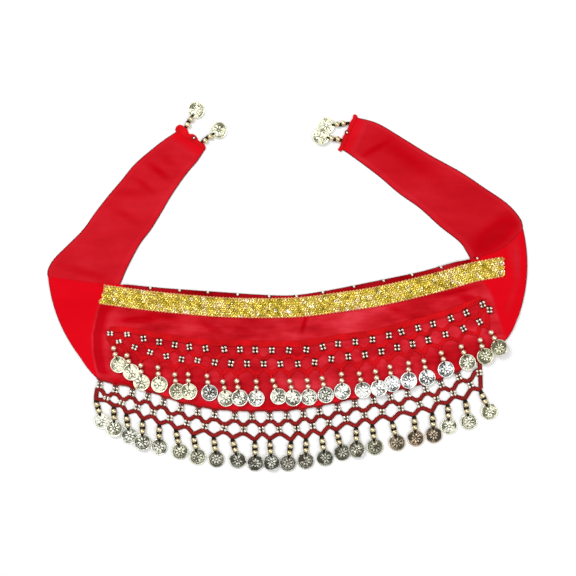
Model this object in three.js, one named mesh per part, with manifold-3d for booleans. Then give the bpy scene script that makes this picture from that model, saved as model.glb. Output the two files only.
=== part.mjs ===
// A pet's belly-dance hip scarf, laid out flat on a table: one band of red chiffon whose two
// ends are folded back behind it, with sequin trim, two crocheted nets and coin dangles.
// Millimetres. +X runs along the panel, +Y from the panel up to the strap ends, +Z off the table.
import * as THREE from "three";
import { mergeVertices } from "three/addons/utils/BufferGeometryUtils.js";
import Module from "manifold-3d";

const wasm = await Module();
wasm.setup();

// Driving dimensions
const CENTRE = { x: -0.63, y: 1.7 }; // middle of the laid-out scarf in the tables' coordinates
const CLOTH = 1.0; // one layer of chiffon with its hems, as a wall
const LAYER = 1.3; // how far the panel is lifted where a strap lies under it
const GAP = 0.3; // air kept between pieces that touch
const HEM_RISE = 0.25; // a hem is two turns of cloth thicker than the panel
const FOLD_EDGE = 0.8; // the fold's rounded edge is this much lower than the cloth beside it
const TRIM_HALF_WIDTH = 9.6;
const TRIM_THICK = 1.8;
const TRIM_EDGE_THICK = 1.0;
const CORD = 3.6; // width of the crocheted cord
const NET_THICK = 1.4;
const UPPER_HEADING = 3.4; // solid crochet above the upper net's first row of bead clusters
const BEAD = 5.0; // gold bead
const THREAD = 1.6; // the doubled thread that the beads hang on
const COIN = 16.5;
const COIN_THICK = 1.0;
const COIN_AT = 21.9; // from the foot of the net to the coin's middle
const COIN_TILT = 0.105; // a coin leans from its thread down to the table
const PROPPED = 0.095; // pitch of a dangle whose coin lies on its neighbour
const DANGLE_REST = 2.0; // underside of the upper dangles, clear of the panel's bottom hem

// A table is written as rows of numbers under named columns.
function table(columns, rows) {
  const names = columns.split(" ");
  return rows.map((row, i) => {
    const entries = names.map((name, k) => [name, row[k]]);
    return { i, ...Object.fromEntries(entries) };
  });
}

// Sections of the panel from the left fold to the right fold: top edge, bottom edge, how far
// the section bows sideways, and 1 where a strap lies under it.
const PANEL = table("topX topY bottomX bottomY bow over", [
  [-239.4, 11.5, -208.5, -67.5, -6, 1],
  [-219, 8.6, -200.3, -79.5, -4.4, 1],
  [-190, 4.8, -192, -88.5, -2, 1],
  [-160, 3, -184, -92.8, 0, 1],
  [-150, 2, -176, -95, 0, 0],
  [-123, -0.5, -144, -101.5, 0, 0],
  [-95, -2.5, -105, -114.5, 0, 0],
  [-66, -4.5, -71, -121, 0, 0],
  [-32, -6.8, -32, -122.7, 0, 0],
  [2, -7.8, 5, -121.5, 0, 0],
  [33, -4, 37, -116.5, 0, 0],
  [70, 3, 77, -108, 0, 0],
  [107, 10.5, 122, -99, 0, 0],
  [135, 16.5, 159, -87.5, 0, 0],
  [158, 23, 192, -69.5, 0, 0],
  [169, 26, 205, -60.5, 0, 1],
  [201, 33.8, 217, -52, 0, 1],
  [219.5, 43.3, 224, -42, 3, 1],
  [234.6, 58.5, 230, -28, 6.2, 1],
]);

// Sections across each strap, from its free end to its tip behind the panel.
const STRAP_LEFT = table("outerX outerY innerX innerY", [
  [-110.5, 156.5, -83, 139],
  [-123, 148.2, -91, 127],
  [-135, 139, -102, 114],
  [-153, 123.4, -116, 94],
  [-166, 107.6, -126, 77],
  [-179.6, 91.6, -137, 59],
  [-192.2, 75.4, -147, 46],
  [-204, 58.8, -155, 32],
  [-218.8, 43.6, -162, 18],
  [-233.4, 29, -168, 4],
  [-239.8, 17.5, -171, -1],
  [-238.8, 9.5, -172.6, -3.6],
  [-233.8, 4, -175, -8],
  [-231.4, -10, -183, -19],
  [-224.2, -32, -193, -34],
  [-213, -54, -195, -54],
  [-203, -69, -194.5, -72],
  [-196, -77.5, -191.5, -81],
]);
const STRAP_RIGHT = table("outerX outerY innerX innerY", [
  [68, 170.3, 54, 139],
  [90, 164, 67, 130],
  [117, 148, 91, 112],
  [143, 132, 111, 95],
  [172, 116, 132, 80],
  [196, 100, 152, 62],
  [219, 84, 171, 47],
  [232, 69, 178.4, 37],
  [234.4, 58, 184, 26],
  [233, 50.5, 186.3, 18.5],
  [233.2, 36, 191, 6],
  [233, 12, 200, -17],
  [229.5, -12, 208, -36],
  [225, -28, 214, -46],
]);

// Soft creases: a ridge from one point to another, with its half width and height.
const STRAP_CREASES = table("fromX fromY toX toY reach height", [
  [-138, 125, -118, 110, 9, 1.6],
  [-151, 108, -132, 94, 8, 1.3],
  [-176, 83, -148, 66, 9, 1.2],
  [-214, 34, -184, 24, 7, 1.0],
  [72, 130, 108, 145, 8, 1.8],
  [110, 98, 152, 82, 9, 1.2],
  [152, 110, 180, 92, 9, 1.2],
  [198, 66, 203, 56, 6, 1.3],
]);
const PANEL_CREASES = table("fromX fromY toX toY reach height", [
  [-162, -32, -104, -38, 5, 1.2],
  [-33, -37, 42, -37, 4, 0.8],
  [108, -23, 158, -13, 4, 1.0],
  [225, 24, 222, 0, 5, 0.9],
]);

// Centre line of the sequin trim.
const TRIM = table("x y", [
  [-184.5, -6.5],
  [-135, -13],
  [-76, -18.5],
  [-32, -20],
  [12, -19],
  [52.3, -14],
  [92, -7.8],
  [152, 6.4],
  [184, 15.6],
  [214, 21.3],
]);

// Top line of the upper net, with the share of its full depth and the sideways fan per mm.
const UPPER_LINE = table("x y deep fan", [
  [-184, -40.5, 0.57, 0.05],
  [-163, -40, 0.7, 0],
  [-143.5, -43, 0.9, -0.08],
  [-113, -48.3, 1, -0.05],
  [-83, -52, 1, 0],
  [-48, -53, 1, -0.02],
  [-16, -53.8, 1, 0.02],
  [18, -53.2, 1, 0.03],
  [49, -47.5, 1, 0.1],
  [84, -43, 1, 0.08],
  [112, -35.5, 1, 0.16],
  [145, -27, 1, 0.2],
  [178, -15.2, 1, 0.32],
  [198, -5.5, 0.92, 0.24],
]);

// The lower net hangs from the bottom hem.
const LOWER_LINE = table("x deep fan", [
  [-188, 0.95, -0.1],
  [-172, 0.96, -0.09],
  [-155, 1, -0.16],
  [-123, 1.03, -0.16],
  [-90, 1.02, -0.12],
  [-60, 1, -0.03],
  [-18, 1, 0.05],
  [32, 1, 0.06],
  [60, 1, 0],
  [102, 1, 0.07],
  [140, 1, 0.2],
  [172, 1.05, 0.2],
  [191, 1.05, 0.05],
]);

// The columns of each net: bead clusters stand under each x, and a dangle hangs from the foot
// of the column. Its coin lies at coinX, coinY; lean is its swing towards +X, in degrees.
const UPPER_COLUMNS = table("x coinX coinY lean", [
  [-177.5, -168.9, -76.4, 17],
  [-160.5, -156.2, -84, 14],
  [-143.5, -146.2, -94.3, 2],
  [-128, -128.3, -96.3, 5],
  [-112.6, -110.4, -103.2, 9],
  [-98.3, -98.8, -103.4, 2],
  [-82.3, -78.3, -104.6, 9],
  [-63.5, -61.9, -110.2, 10],
  [-47.8, -48, -109.8, 10],
  [-32.7, -31.6, -110.2, 0],
  [-16.3, -9.4, -108.2, 20],
  [0.6, 5.1, -109.8, 11],
  [18, 20.9, -109, 6],
  [34.2, 37.8, -106.7, 12],
  [49.1, 54.2, -103.2, 3],
  [66.4, 74.8, -102, 13],
  [83.7, 90.6, -100.2, 12],
  [99.6, 103.9, -95.6, 8],
  [111.9, 120.3, -92.2, 1],
  [128.3, 138.8, -89.6, 11],
  [143, 157.6, -81.2, 16],
  [160.3, 179.1, -74.2, 22],
  [175.2, 196.6, -68.1, 18],
  [192, 210.3, -59.6, 28],
]);
const LOWER_COLUMNS = table("x coinX coinY lean", [
  [-187.5, -185.8, -132.9, 17],
  [-172.1, -173.3, -140.3, 2],
  [-154.9, -158.3, -147.6, 9],
  [-139.3, -145.3, -154, 0],
  [-123.6, -128.7, -158.7, 0],
  [-106.3, -107.9, -163.3, 11],
  [-89.5, -90.2, -168.7, 12],
  [-73, -71.6, -170.9, 7],
  [-53.2, -50.3, -172.2, 14],
  [-36.1, -32.7, -175, 1],
  [-18.5, -16.4, -174, 5],
  [-1.5, -0.2, -175.1, -9],
  [15.1, 17.6, -172.8, -1],
  [31.1, 37, -169.8, 9],
  [49.4, 54.4, -164.3, 16],
  [66.9, 68.4, -161.3, 1],
  [85.2, 86.8, -158.7, 7],
  [102, 109, -154.6, 14],
  [119, 127.6, -150.1, 4],
  [136.3, 145.6, -146.9, 4],
  [151.9, 160.7, -138.1, 3],
  [169.4, 180.7, -133.7, 10],
  [188.6, 201.1, -123.4, 23],
]);

// Dangles on the strap ends: where each one's thread leaves the edging, and its heading in
// degrees from -Y towards +X.
const STRAP_DANGLES = table("x y lean propped", [
  [-102.5, 158.8, 150, 0],
  [-86.6, 144.5, 127, 0],
  [60, 165.2, 278, 0],
  [54.3, 148.2, 262, 1],
]);

// Crocheted edging on the strap ends: distance along the cut end and out from it.
const EDGING_LEFT = table("along out", [
  [0, 0.3],
  [-1.8, 2.4],
  [-2.4, 5],
  [-0.6, 6.6],
  [3.6, 6.7],
  [7, 6.4],
  [8.6, 4.4],
  [11.6, 3],
  [14, 4.8],
  [17, 5.6],
  [20, 4],
  [22.6, 2.4],
  [26.4, 3],
  [30, 2.6],
  [32, 0.3],
]);
const EDGING_RIGHT = table("along out", [
  [0.8, 0.3],
  [-1.6, 1.4],
  [-2, 2.4],
  [-0.8, 2.5],
  [1.6, 1.6],
  [6, 2.6],
  [10, 2.4],
  [14, 2.1],
  [18, 2.4],
  [22, 3.1],
  [25, 3.1],
  [28, 2.7],
  [31, 2],
  [34, 1.8],
  [36.2, 2.9],
  [36.8, 2.1],
  [33.4, 0.3],
]);

// Depths in a net, measured down from its top line, and half widths of its cells.
const NET = {
  middlePeak: 9.8,
  middleValley: 13.8,
  lowPeak: 23.3,
  lowValley: 29,
  pitch: 17,
  cell: 5.2,
  strip: 1.2,
};

// Value of one column of a table at a place along another, as a smooth curve.
function read(rows, by, column, at) {
  const last = rows.length - 1;
  const i = Math.max(
    0,
    rows.findLastIndex((row, k) => k < last && row[by] <= at),
  );
  const slope = (k) => {
    const a = rows[Math.max(k - 1, 0)];
    const b = rows[Math.min(k + 1, last)];
    return (b[column] - a[column]) / (b[by] - a[by]);
  };
  const span = rows[i + 1][by] - rows[i][by];
  const t = THREE.MathUtils.clamp((at - rows[i][by]) / span, 0, 1);
  const u = 1 - t;
  return (
    rows[i][column] * (1 + 2 * t) * u * u +
    rows[i + 1][column] * (3 - 2 * t) * t * t +
    slope(i) * span * t * u * u -
    slope(i + 1) * span * t * t * u
  );
}

// Height that a piece's creases add to its cloth at a point.
function creaseHeight(creases, x, y) {
  let height = 0;
  for (const crease of creases) {
    const dx = crease.toX - crease.fromX;
    const dy = crease.toY - crease.fromY;
    const along = (x - crease.fromX) * dx + (y - crease.fromY) * dy;
    const t = THREE.MathUtils.clamp(along / (dx * dx + dy * dy), 0, 1);
    const away = Math.hypot(x - crease.fromX - dx * t, y - crease.fromY - dy * t);
    const near = Math.max(0, 1 - (away / crease.reach) ** 2);
    const fade = Math.min(1, 0.35 + 2.6 * t * (1 - t));
    height = Math.max(height, crease.height * near * near * fade);
  }
  return height;
}

// How far cloth, trim and net are lifted over the hidden straps: full beyond each line, then
// down over a short slope towards the middle of the panel.
const SLOPES = table("x y inX inY", [
  [-160, 3.5, 0.968, -0.251],
  [169, 26, -0.923, -0.384],
]);
function liftAt(x, y) {
  const starts = 6;
  const runs = 16;
  const lifts = SLOPES.map((line) => {
    const inward = (x - line.x) * line.inX + (y - line.y) * line.inY;
    return 1 - THREE.MathUtils.clamp((inward - starts) / runs, 0, 1);
  });
  return LAYER * Math.max(...lifts);
}

// A wall of cloth: a box of cells whose points are moved to place(u, v, top). us and vs are the
// rising coordinates of its columns and rows.
function wall(us, vs, place) {
  const geometry = new THREE.BoxGeometry(1, 1, 1, us.length - 1, vs.length - 1, 1);
  const points = geometry.getAttribute("position");
  for (let k = 0; k < points.count; k++) {
    const u = us[Math.round((points.getX(k) + 0.5) * (us.length - 1))];
    const v = vs[Math.round((points.getY(k) + 0.5) * (vs.length - 1))];
    points.setXYZ(k, ...place(u, v, points.getZ(k) > 0));
  }
  return geometry;
}

function steps(from, to, count) {
  return Array.from({ length: count + 1 }, (_, k) => from + ((to - from) * k) / count);
}

// Panel. u counts sections, v runs from the bottom hem (0) to the top hem (1).
const EDGE_OUT = 0.09; // the fold's lip, in sections
const EDGE_IN = 0.15;
const LIP_TOP = 0.92; // above this the strap comes out from under the panel
const LIP_OUT = 0.015; // the same lip along the bottom edge
const LIP_IN = 0.025;
const BOTTOM_HEM = 0.066;
const TOP_HEM = 0.982;
const LAST = PANEL.length - 1;
const PANEL_US = [
  0,
  EDGE_OUT,
  EDGE_IN,
  ...steps(0.5, LAST - 0.5, (LAST - 1) * 2),
  LAST - EDGE_IN,
  LAST - EDGE_OUT,
  LAST,
];
const PANEL_VS = [
  0,
  LIP_OUT,
  LIP_IN,
  BOTTOM_HEM,
  BOTTOM_HEM + 0.012,
  0.22,
  0.4,
  0.58,
  0.635,
  0.685,
  0.735,
  0.79,
  0.9,
  TOP_HEM - 0.008,
  TOP_HEM,
  1,
];

function panelPoint(u, v) {
  const s = (column) => read(PANEL, "i", column, u);
  const dx = s("topX") - s("bottomX");
  const dy = s("topY") - s("bottomY");
  const bow = (s("bow") * 4 * v * (1 - v)) / Math.hypot(dx, dy);
  return { x: s("bottomX") + dx * v + dy * bow, y: s("bottomY") + dy * v - dx * bow };
}

function panelLift(u) {
  const i = Math.min(Math.floor(u), LAST - 1);
  return LAYER * THREE.MathUtils.lerp(PANEL[i].over, PANEL[i + 1].over, u - i);
}

function panel() {
  return wall(PANEL_US, PANEL_VS, (u, v, top) => {
    const { x, y } = panelPoint(u, v);
    const lift = panelLift(u);
    const fold = (u < EDGE_IN || u > LAST - EDGE_IN) && v < LIP_TOP;
    const lip = fold || v < LIP_IN;
    if (!top) return [x, y, lip ? 0 : lift];
    const hem = v <= BOTTOM_HEM || v >= TOP_HEM ? HEM_RISE : 0;
    const round = u === 0 || u === LAST || v === 0 ? FOLD_EDGE * (lift / LAYER) : 0;
    return [x, y, CLOTH + lift + hem - round + creaseHeight(PANEL_CREASES, x, y)];
  });
}

// Strap: flat underneath, with its creases on top and a turned hem along both edges.
function strap(rows) {
  const last = rows.length - 1;
  const us = steps(0, last, last * 2);
  const vs = [0, 0.05, 0.09, 0.26, 0.42, 0.58, 0.74, 0.91, 0.95, 1];
  const flip = rows[0].outerX < rows[0].innerX;
  return wall(us, vs, (u, v, top) => {
    const s = (column) => read(rows, "i", column, u);
    const across = flip ? 1 - v : v;
    const x = THREE.MathUtils.lerp(s("innerX"), s("outerX"), across);
    const y = THREE.MathUtils.lerp(s("innerY"), s("outerY"), across);
    return [x, y, top ? CLOTH + creaseHeight(STRAP_CREASES, x, y) : 0];
  });
}

// Height of the underside of whatever is sewn on the panel.
function sewnOn(x, y) {
  return CLOTH + GAP + liftAt(x, y);
}

function trim() {
  const first = TRIM[0].x;
  const last = TRIM.at(-1).x;
  return wall(steps(first, last, 34), [-1, -0.86, 0.86, 1], (x, v, top) => {
    const slope = read(TRIM, "x", "y", x + 0.5) - read(TRIM, "x", "y", x - 0.5);
    const long = Math.hypot(1, slope);
    const px = x - (TRIM_HALF_WIDTH * v * slope) / long;
    const py = read(TRIM, "x", "y", x) + (TRIM_HALF_WIDTH * v) / long;
    const thick = Math.abs(v) === 1 ? TRIM_EDGE_THICK : TRIM_THICK;
    return [px, py, sewnOn(px, py) + (top ? thick : 0)];
  });
}

// The bottom hem's outline, straight between the panel's own columns.
const HEM_POINTS = PANEL_US.map((u) => panelPoint(u, 0));
function hemY(x) {
  const k = HEM_POINTS.findIndex((p, n) => n > 0 && p.x >= x);
  const a = HEM_POINTS[k - 1];
  const b = HEM_POINTS[k];
  return a.y + ((b.y - a.y) * (x - a.x)) / (b.x - a.x);
}

// A net as a plan of places: at(column, aside, depth) gives a point aside of a column and so
// far down from the top line. The net hangs evenly as far as its middle valleys; below them
// each column is drawn to the foot that its dangle hangs from.
function netPlan(columns, line, topY, heading) {
  const last = columns.length - 1;
  const foot = NET.lowValley + CORD / 2;
  const even = (column, aside, depth) => {
    const k = THREE.MathUtils.clamp(Math.floor(column), 0, last - 1);
    const pitch = columns[k + 1].x - columns[k].x;
    const x = columns[k].x + (column - k) * pitch + (aside * pitch) / NET.pitch;
    const down = (depth + heading) * read(line, "x", "deep", x);
    return [x + down * read(line, "x", "fan", x), topY(x) - down];
  };
  const pulls = columns.map(({ i, coinX, coinY, lean }) => {
    const turn = THREE.MathUtils.degToRad(lean);
    const [x, y] = even(i, 0, foot);
    return {
      i,
      x: coinX - COIN_AT * Math.sin(turn) - x,
      y: coinY + COIN_AT * Math.cos(turn) - y,
    };
  });
  return {
    columns,
    heading,
    at(column, aside, depth) {
      const [x, y] = even(column, aside, depth);
      const near = column + aside / NET.pitch;
      const part = (depth - NET.middleValley) / (foot - NET.middleValley);
      const share = THREE.MathUtils.clamp(part, 0, 1);
      return [
        x + share * read(pulls, "i", "x", near),
        y + share * read(pulls, "i", "y", near),
      ];
    },
  };
}
const UPPER = netPlan(
  UPPER_COLUMNS,
  UPPER_LINE,
  (x) => read(UPPER_LINE, "x", "y", x),
  UPPER_HEADING,
);
const LOWER = netPlan(LOWER_COLUMNS, LOWER_LINE, (x) => hemY(x) - 0.5, 0);

// The net's outline and cells. Row one's cells lie between the columns, row two's under them.
function netShape(plan) {
  const { at, columns, heading } = plan;
  const half = CORD / 2;
  const last = columns.length - 1;
  const side = 3.5;
  const outline = [];
  for (let c = last; c >= 0; c -= 0.5) outline.push(at(c, 0, -heading));
  outline.push(at(0, -side, -heading));
  outline.push(at(0, -side, NET.middlePeak));
  outline.push(at(0, -half, NET.lowPeak));
  for (let c = 0; c <= last; c++) {
    if (c > 0) outline.push(at(c, -4.4, 26.9));
    outline.push(at(c, 0, NET.lowValley + half));
    if (c < last) outline.push(at(c, 4.4, 26.9));
    if (c < last) outline.push(at(c + 0.5, 0, NET.lowPeak + half));
  }
  outline.push(at(last, half, NET.lowPeak));
  outline.push(at(last, side, NET.middlePeak));
  outline.push(at(last, side, -heading));
  const shape = new THREE.Shape(outline.map(([x, y]) => new THREE.Vector2(x, y)));
  const cell = (column, corners) => {
    const points = corners.map(([aside, depth]) => {
      const [x, y] = at(column, aside, depth);
      return new THREE.Vector2(x, y);
    });
    shape.holes.push(new THREE.Path(points));
  };
  const { cell: w, strip, middlePeak, middleValley, lowPeak, lowValley } = NET;
  for (let c = 0; c < last; c++) {
    cell(c + 0.5, [
      [-w, strip],
      [w, strip],
      [w, middlePeak - 0.4],
      [2, middleValley - half],
      [-2, middleValley - half],
      [-w, middlePeak - 0.4],
    ]);
  }
  for (let c = 1; c < last; c++) {
    cell(c, [
      [-w, middleValley + 0.2],
      [-2, middlePeak + half],
      [2, middlePeak + half],
      [w, middleValley + 0.2],
      [w, lowPeak],
      [0, lowValley - half],
      [-w, lowPeak],
    ]);
  }
  cell(last, [
    [-w, middleValley + 0.2],
    [-1.8, middlePeak + half],
    [-1.8, lowValley - 2.5],
    [-w, lowPeak],
  ]);
  return shape;
}

// A net cut from its shape and laid at the height that floor(x, y) gives.
function net(plan, floor) {
  const geometry = new THREE.ExtrudeGeometry(netShape(plan), {
    depth: NET_THICK,
    bevelEnabled: false,
  });
  const points = geometry.getAttribute("position");
  for (let k = 0; k < points.count; k++)
    points.setZ(k, points.getZ(k) + floor(points.getX(k), points.getY(k)));
  return geometry;
}

// Crochet along a strap's cut end, from its corner at start towards its corner at finish.
// outward is -1 where that direction has the open side on its left.
function edging(rows, start, finish, outward) {
  const along = finish.clone().sub(start).normalize();
  const out = new THREE.Vector2(outward * along.y, -outward * along.x);
  const points = rows.map((row) =>
    start.clone().addScaledVector(along, row.along).addScaledVector(out, row.out),
  );
  const shape = new THREE.Shape(points);
  return new THREE.ExtrudeGeometry(shape, { depth: NET_THICK, bevelEnabled: false });
}

function solidOf(geometry) {
  const bare = geometry.clone();
  bare.deleteAttribute("normal");
  bare.deleteAttribute("uv");
  const merged = mergeVertices(bare, 1e-4);
  return new wasm.Manifold(
    new wasm.Mesh({
      numProp: 3,
      vertProperties: new Float32Array(merged.attributes.position.array),
      triVerts: new Uint32Array(merged.index.array),
    }),
  );
}

function geometryOf(solid) {
  const mesh = solid.getMesh();
  const geometry = new THREE.BufferGeometry();
  geometry.setAttribute("position", new THREE.BufferAttribute(mesh.vertProperties, 3));
  geometry.setIndex(new THREE.BufferAttribute(mesh.triVerts, 1));
  return geometry;
}

// A dangle hangs along -Y from its root at the origin: thread, two beads and a coin that leans
// down to the table.
const BEAD_AT = 4.7;
const BEAD_STEP = 6.4;
function dangle() {
  const sides = 5;
  const flat = Math.cos(Math.PI / sides) * (BEAD / 2);
  const thread = THREAD / 2;
  const neck = BEAD_STEP / 2;
  const profile = [
    [0, 0.5],
    [thread, 0.5],
    [BEAD / 2, BEAD_AT],
    [thread, BEAD_AT + neck],
    [BEAD / 2, BEAD_AT + BEAD_STEP],
    [thread, COIN_AT - COIN / 2 + 0.9],
    [0, COIN_AT - COIN / 2 + 0.9],
  ];
  const points = profile.map(([radius, down]) => new THREE.Vector2(radius, -down));
  const strand = new THREE.LatheGeometry(points.reverse(), sides);
  strand.translate(0, 0, flat);
  const coin = new THREE.CylinderGeometry(COIN / 2, COIN / 2, COIN_THICK, 10);
  coin.rotateX(Math.PI / 2 + COIN_TILT);
  const low = (COIN / 2) * Math.sin(COIN_TILT) + (COIN_THICK / 2) * Math.cos(COIN_TILT);
  coin.translate(0, -COIN_AT, low);
  return geometryOf(solidOf(strand).add(solidOf(coin)));
}
const DANGLE = dangle();

const scarf = new THREE.Group();
scarf.position.set(-CENTRE.x, -CENTRE.y, 0);

function sew(name, geometry, color, roughness, metalness) {
  const material = new THREE.MeshStandardMaterial({ color, roughness, metalness });
  const mesh = new THREE.Mesh(geometry, material);
  mesh.name = name;
  scarf.add(mesh);
  return mesh;
}

function hang(name, [x, y], z, lean, propped) {
  const mesh = sew(name, DANGLE, 0xb9b7a8, 0.3, 1);
  mesh.position.set(x, y, z);
  mesh.rotation.set(propped ? -PROPPED : 0, 0, THREE.MathUtils.degToRad(lean), "ZXY");
}

// A row of dangles under a net. A coin that would share its neighbour's place is propped on it.
function hangRow(prefix, plan, rest) {
  let before = null;
  let wasPropped = false;
  for (const { i, coinX, coinY, lean } of plan.columns) {
    const root = plan.at(i, 0, NET.lowValley + CORD / 2);
    const coin = new THREE.Vector2(coinX, coinY);
    const crowded = before !== null && coin.distanceTo(before) < COIN + 0.5;
    const propped = crowded && !wasPropped;
    const z = rest(...root);
    hang(prefix + String(i + 1).padStart(2, "0"), root, z, lean, propped);
    before = coin;
    wasPropped = propped;
  }
}

sew("scarf_panel", panel(), 0xc81428, 0.75, 0);
sew("strap_left", strap(STRAP_LEFT), 0xc81428, 0.75, 0);
sew("strap_right", strap(STRAP_RIGHT), 0xc81428, 0.75, 0);
sew("sequin_trim", trim(), 0xd8b64a, 0.35, 0.8);
sew("net_upper", net(UPPER, sewnOn), 0xcc1414, 0.85, 0);
sew("net_lower", net(LOWER, () => 0), 0xb21616, 0.85, 0);

const leftEnd = STRAP_LEFT[0];
const rightEnd = STRAP_RIGHT[0];
sew(
  "edging_left",
  edging(
    EDGING_LEFT,
    new THREE.Vector2(leftEnd.outerX, leftEnd.outerY),
    new THREE.Vector2(leftEnd.innerX, leftEnd.innerY),
    -1,
  ),
  0xcc1414,
  0.85,
  0,
);
sew(
  "edging_right",
  edging(
    EDGING_RIGHT,
    new THREE.Vector2(rightEnd.outerX, rightEnd.outerY),
    new THREE.Vector2(rightEnd.innerX, rightEnd.innerY),
    1,
  ),
  0xcc1414,
  0.85,
  0,
);

hangRow("coin_upper_", UPPER, (x, y) => DANGLE_REST + liftAt(x, y));
hangRow("coin_lower_", LOWER, () => 0);
const STRAP_COINS = ["coin_left_1", "coin_left_2", "coin_right_1", "coin_right_2"];
for (const { i, x, y, lean, propped } of STRAP_DANGLES)
  hang(STRAP_COINS[i], [x, y], 0, lean, propped);

export default scarf;
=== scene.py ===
# A pet's belly-dance hip scarf, laid out flat on a table: one band of red chiffon whose two ends are
# folded back behind it, with a sequin trim, two crocheted nets with bead clusters, and coin dangles.
# The tables are in millimetres on the laid-out scarf; mesh_piece() turns them into the frame's metres.
import math
import random

import bpy
import numpy as np
from mathutils import Matrix, Vector, noise


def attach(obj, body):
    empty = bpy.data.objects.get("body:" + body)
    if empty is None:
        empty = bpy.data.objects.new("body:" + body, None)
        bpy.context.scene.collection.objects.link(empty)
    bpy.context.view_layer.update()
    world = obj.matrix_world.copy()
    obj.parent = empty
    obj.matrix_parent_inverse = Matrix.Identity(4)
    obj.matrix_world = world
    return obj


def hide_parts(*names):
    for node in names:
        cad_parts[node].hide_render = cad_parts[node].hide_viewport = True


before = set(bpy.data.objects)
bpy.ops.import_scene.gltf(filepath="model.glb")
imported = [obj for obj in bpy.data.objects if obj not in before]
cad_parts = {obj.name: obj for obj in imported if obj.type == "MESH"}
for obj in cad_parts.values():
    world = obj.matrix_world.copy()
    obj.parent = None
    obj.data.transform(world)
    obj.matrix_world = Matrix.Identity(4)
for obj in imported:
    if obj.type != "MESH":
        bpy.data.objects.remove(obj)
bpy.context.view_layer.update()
MM = 0.001
TO_FRAME = np.array([0.63, -1.7, 0.0])  # from the tables' origin to the frame's, in mm

# ---------------------------------------------------------------------------------------------
# Camera. It hangs straight above the table, far enough away that the flat scarf keeps its shape,
# over the middle of the cloth.
CAMERA_HEIGHT = 1.5
VIEW_WIDTH = 0.576
SENSOR = 36.0


def added(name, data):
    """A new object in the scene, holding this camera, mesh or light."""
    made = bpy.data.objects.new(name, data)
    bpy.context.scene.collection.objects.link(made)
    return made


camera_data = bpy.data.cameras.new("camera")
camera_data.sensor_width = SENSOR
camera_data.lens = SENSOR * CAMERA_HEIGHT / VIEW_WIDTH
camera = added("camera", camera_data)
camera.location = (TO_FRAME[0] * MM, TO_FRAME[1] * MM, CAMERA_HEIGHT)
bpy.context.scene.camera = camera

# ---------------------------------------------------------------------------------------------
# Panel: the middle of the chiffon band, lying over its own two straps at the sides. Its long edges
# are turned twice and stitched, and its two ends are soft folds where the band turns back.
CLOTH = 1.0
LAYER = 1.3  # how much a strap below lifts the panel
GAP = 0.3  # under what is sewn on the panel
HEM_RISE = 0.25
HEM_DEPTH = 6.5
HEM_ROUND = 0.9
TOP_ROLL = 2.0
FOLD_ROUND = 2.6
PANEL_RIPPLE = 0.16
SIDES_DARKER = 0.14
FAR = 99.0  # farther than any hem or fold reaches


def table(columns, rows):
    """Rows of numbers under named columns, as one array a column."""
    return dict(zip(columns.split(), np.array(rows, float).T))


# Sections from the left fold to the right one: both ends, and how far each section bows.
PANEL = table("top_x top_y bottom_x bottom_y bow", [
    [-239.4, 11.5, -208.5, -67.5, -6],
    [-219, 8.6, -200.3, -79.5, -4.4],
    [-190, 4.8, -192, -88.5, -2],
    [-160, 3, -184, -92.8, 0],
    [-150, 2, -176, -95, 0],
    [-123, -0.5, -144, -101.5, 0],
    [-95, -2.5, -105, -114.5, 0],
    [-66, -4.5, -71, -121, 0],
    [-32, -6.8, -32, -122.7, 0],
    [2, -7.8, 5, -121.5, 0],
    [33, -4, 37, -116.5, 0],
    [70, 3, 77, -108, 0],
    [107, 10.5, 122, -99, 0],
    [135, 16.5, 159, -87.5, 0],
    [158, 23, 192, -69.5, 0],
    [169, 26, 205, -60.5, 0],
    [201, 33.8, 217, -52, 0],
    [219.5, 43.3, 224, -42, 3],
    [234.6, 58.5, 230, -28, 6.2],
])
# Soft creases: a ridge from one point to another, with its half width and height.
PANEL_CREASES = [
    [-162, -32, -104, -38, 5, 1.2],
    [-33, -37, 42, -37, 4, 0.8],
    [108, -23, 158, -13, 4, 1.0],
    [225, 24, 222, 0, 5, 0.9],
]
# The inner edges of the two straps, which show through the panel as the border of doubled cloth.
SHOWS_LEFT = [
    [-160, 6],
    [-167, -3],
    [-178, -10],
    [-188, -17],
    [-190.4, -25],
    [-195, -47],
    [-194.4, -65],
    [-191.6, -79],
    [-187, -95],
]
SHOWS_RIGHT = [
    [172, 40],
    [184, 26],
    [192, 8],
    [202, -6],
    [205, -14],
    [208.4, -27],
    [213.4, -41],
    [219, -56],
]
# Painted shade: dull streaks along puckers and creases, most beside the right fold, written as the
# creases are.
PAINTED_CREASE_SHADE = [
    [227, 48, 229, 8, 6, 0.75],
    [221, 52, 224, 22, 5, 0.35],
    [229, 8, 219, -24, 5, 0.3],
    [-172, -33, -128, -30, 6, 0.5],
    [-150, -24, -112, -31, 4, 0.35],
    [150, -8, 190, 2, 5, 0.4],
    [170, -9, 196, -14, 7, 0.5],
    [18.7, -27, 13.7, -44, 3.5, 0.8],
    [-60, -36, -30, -47, 4, 0.3],
    [96, -16, 118, -27, 5, 0.35],
    [-90, -34, -66, -44, 6, 0.3],
]
# Lift over the hidden straps: full beyond each line, then down towards the middle of the panel.
SLOPES = [[-160, 3.5, 0.968, -0.251], [169, 26, -0.923, -0.384]]
SLOPE_STARTS = 6.0
SLOPE_RUNS = 16.0


def curve_at(keys, values, at):
    """Smooth value between the keys, with each key's slope taken from its neighbours."""
    last = len(keys) - 1
    i = min(max(int(np.searchsorted(keys, at, side="right")) - 1, 0), last - 1)

    def slope(k):
        a, b = max(k - 1, 0), min(k + 1, last)
        return (values[b] - values[a]) / (keys[b] - keys[a])

    span = keys[i + 1] - keys[i]
    t = min(max((at - keys[i]) / span, 0.0), 1.0)
    u = 1 - t
    ends = values[i] * (1 + 2 * t) * u * u + values[i + 1] * (3 - 2 * t) * t * t
    return ends + slope(i) * span * t * u * u - slope(i + 1) * span * t * t * u


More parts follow.
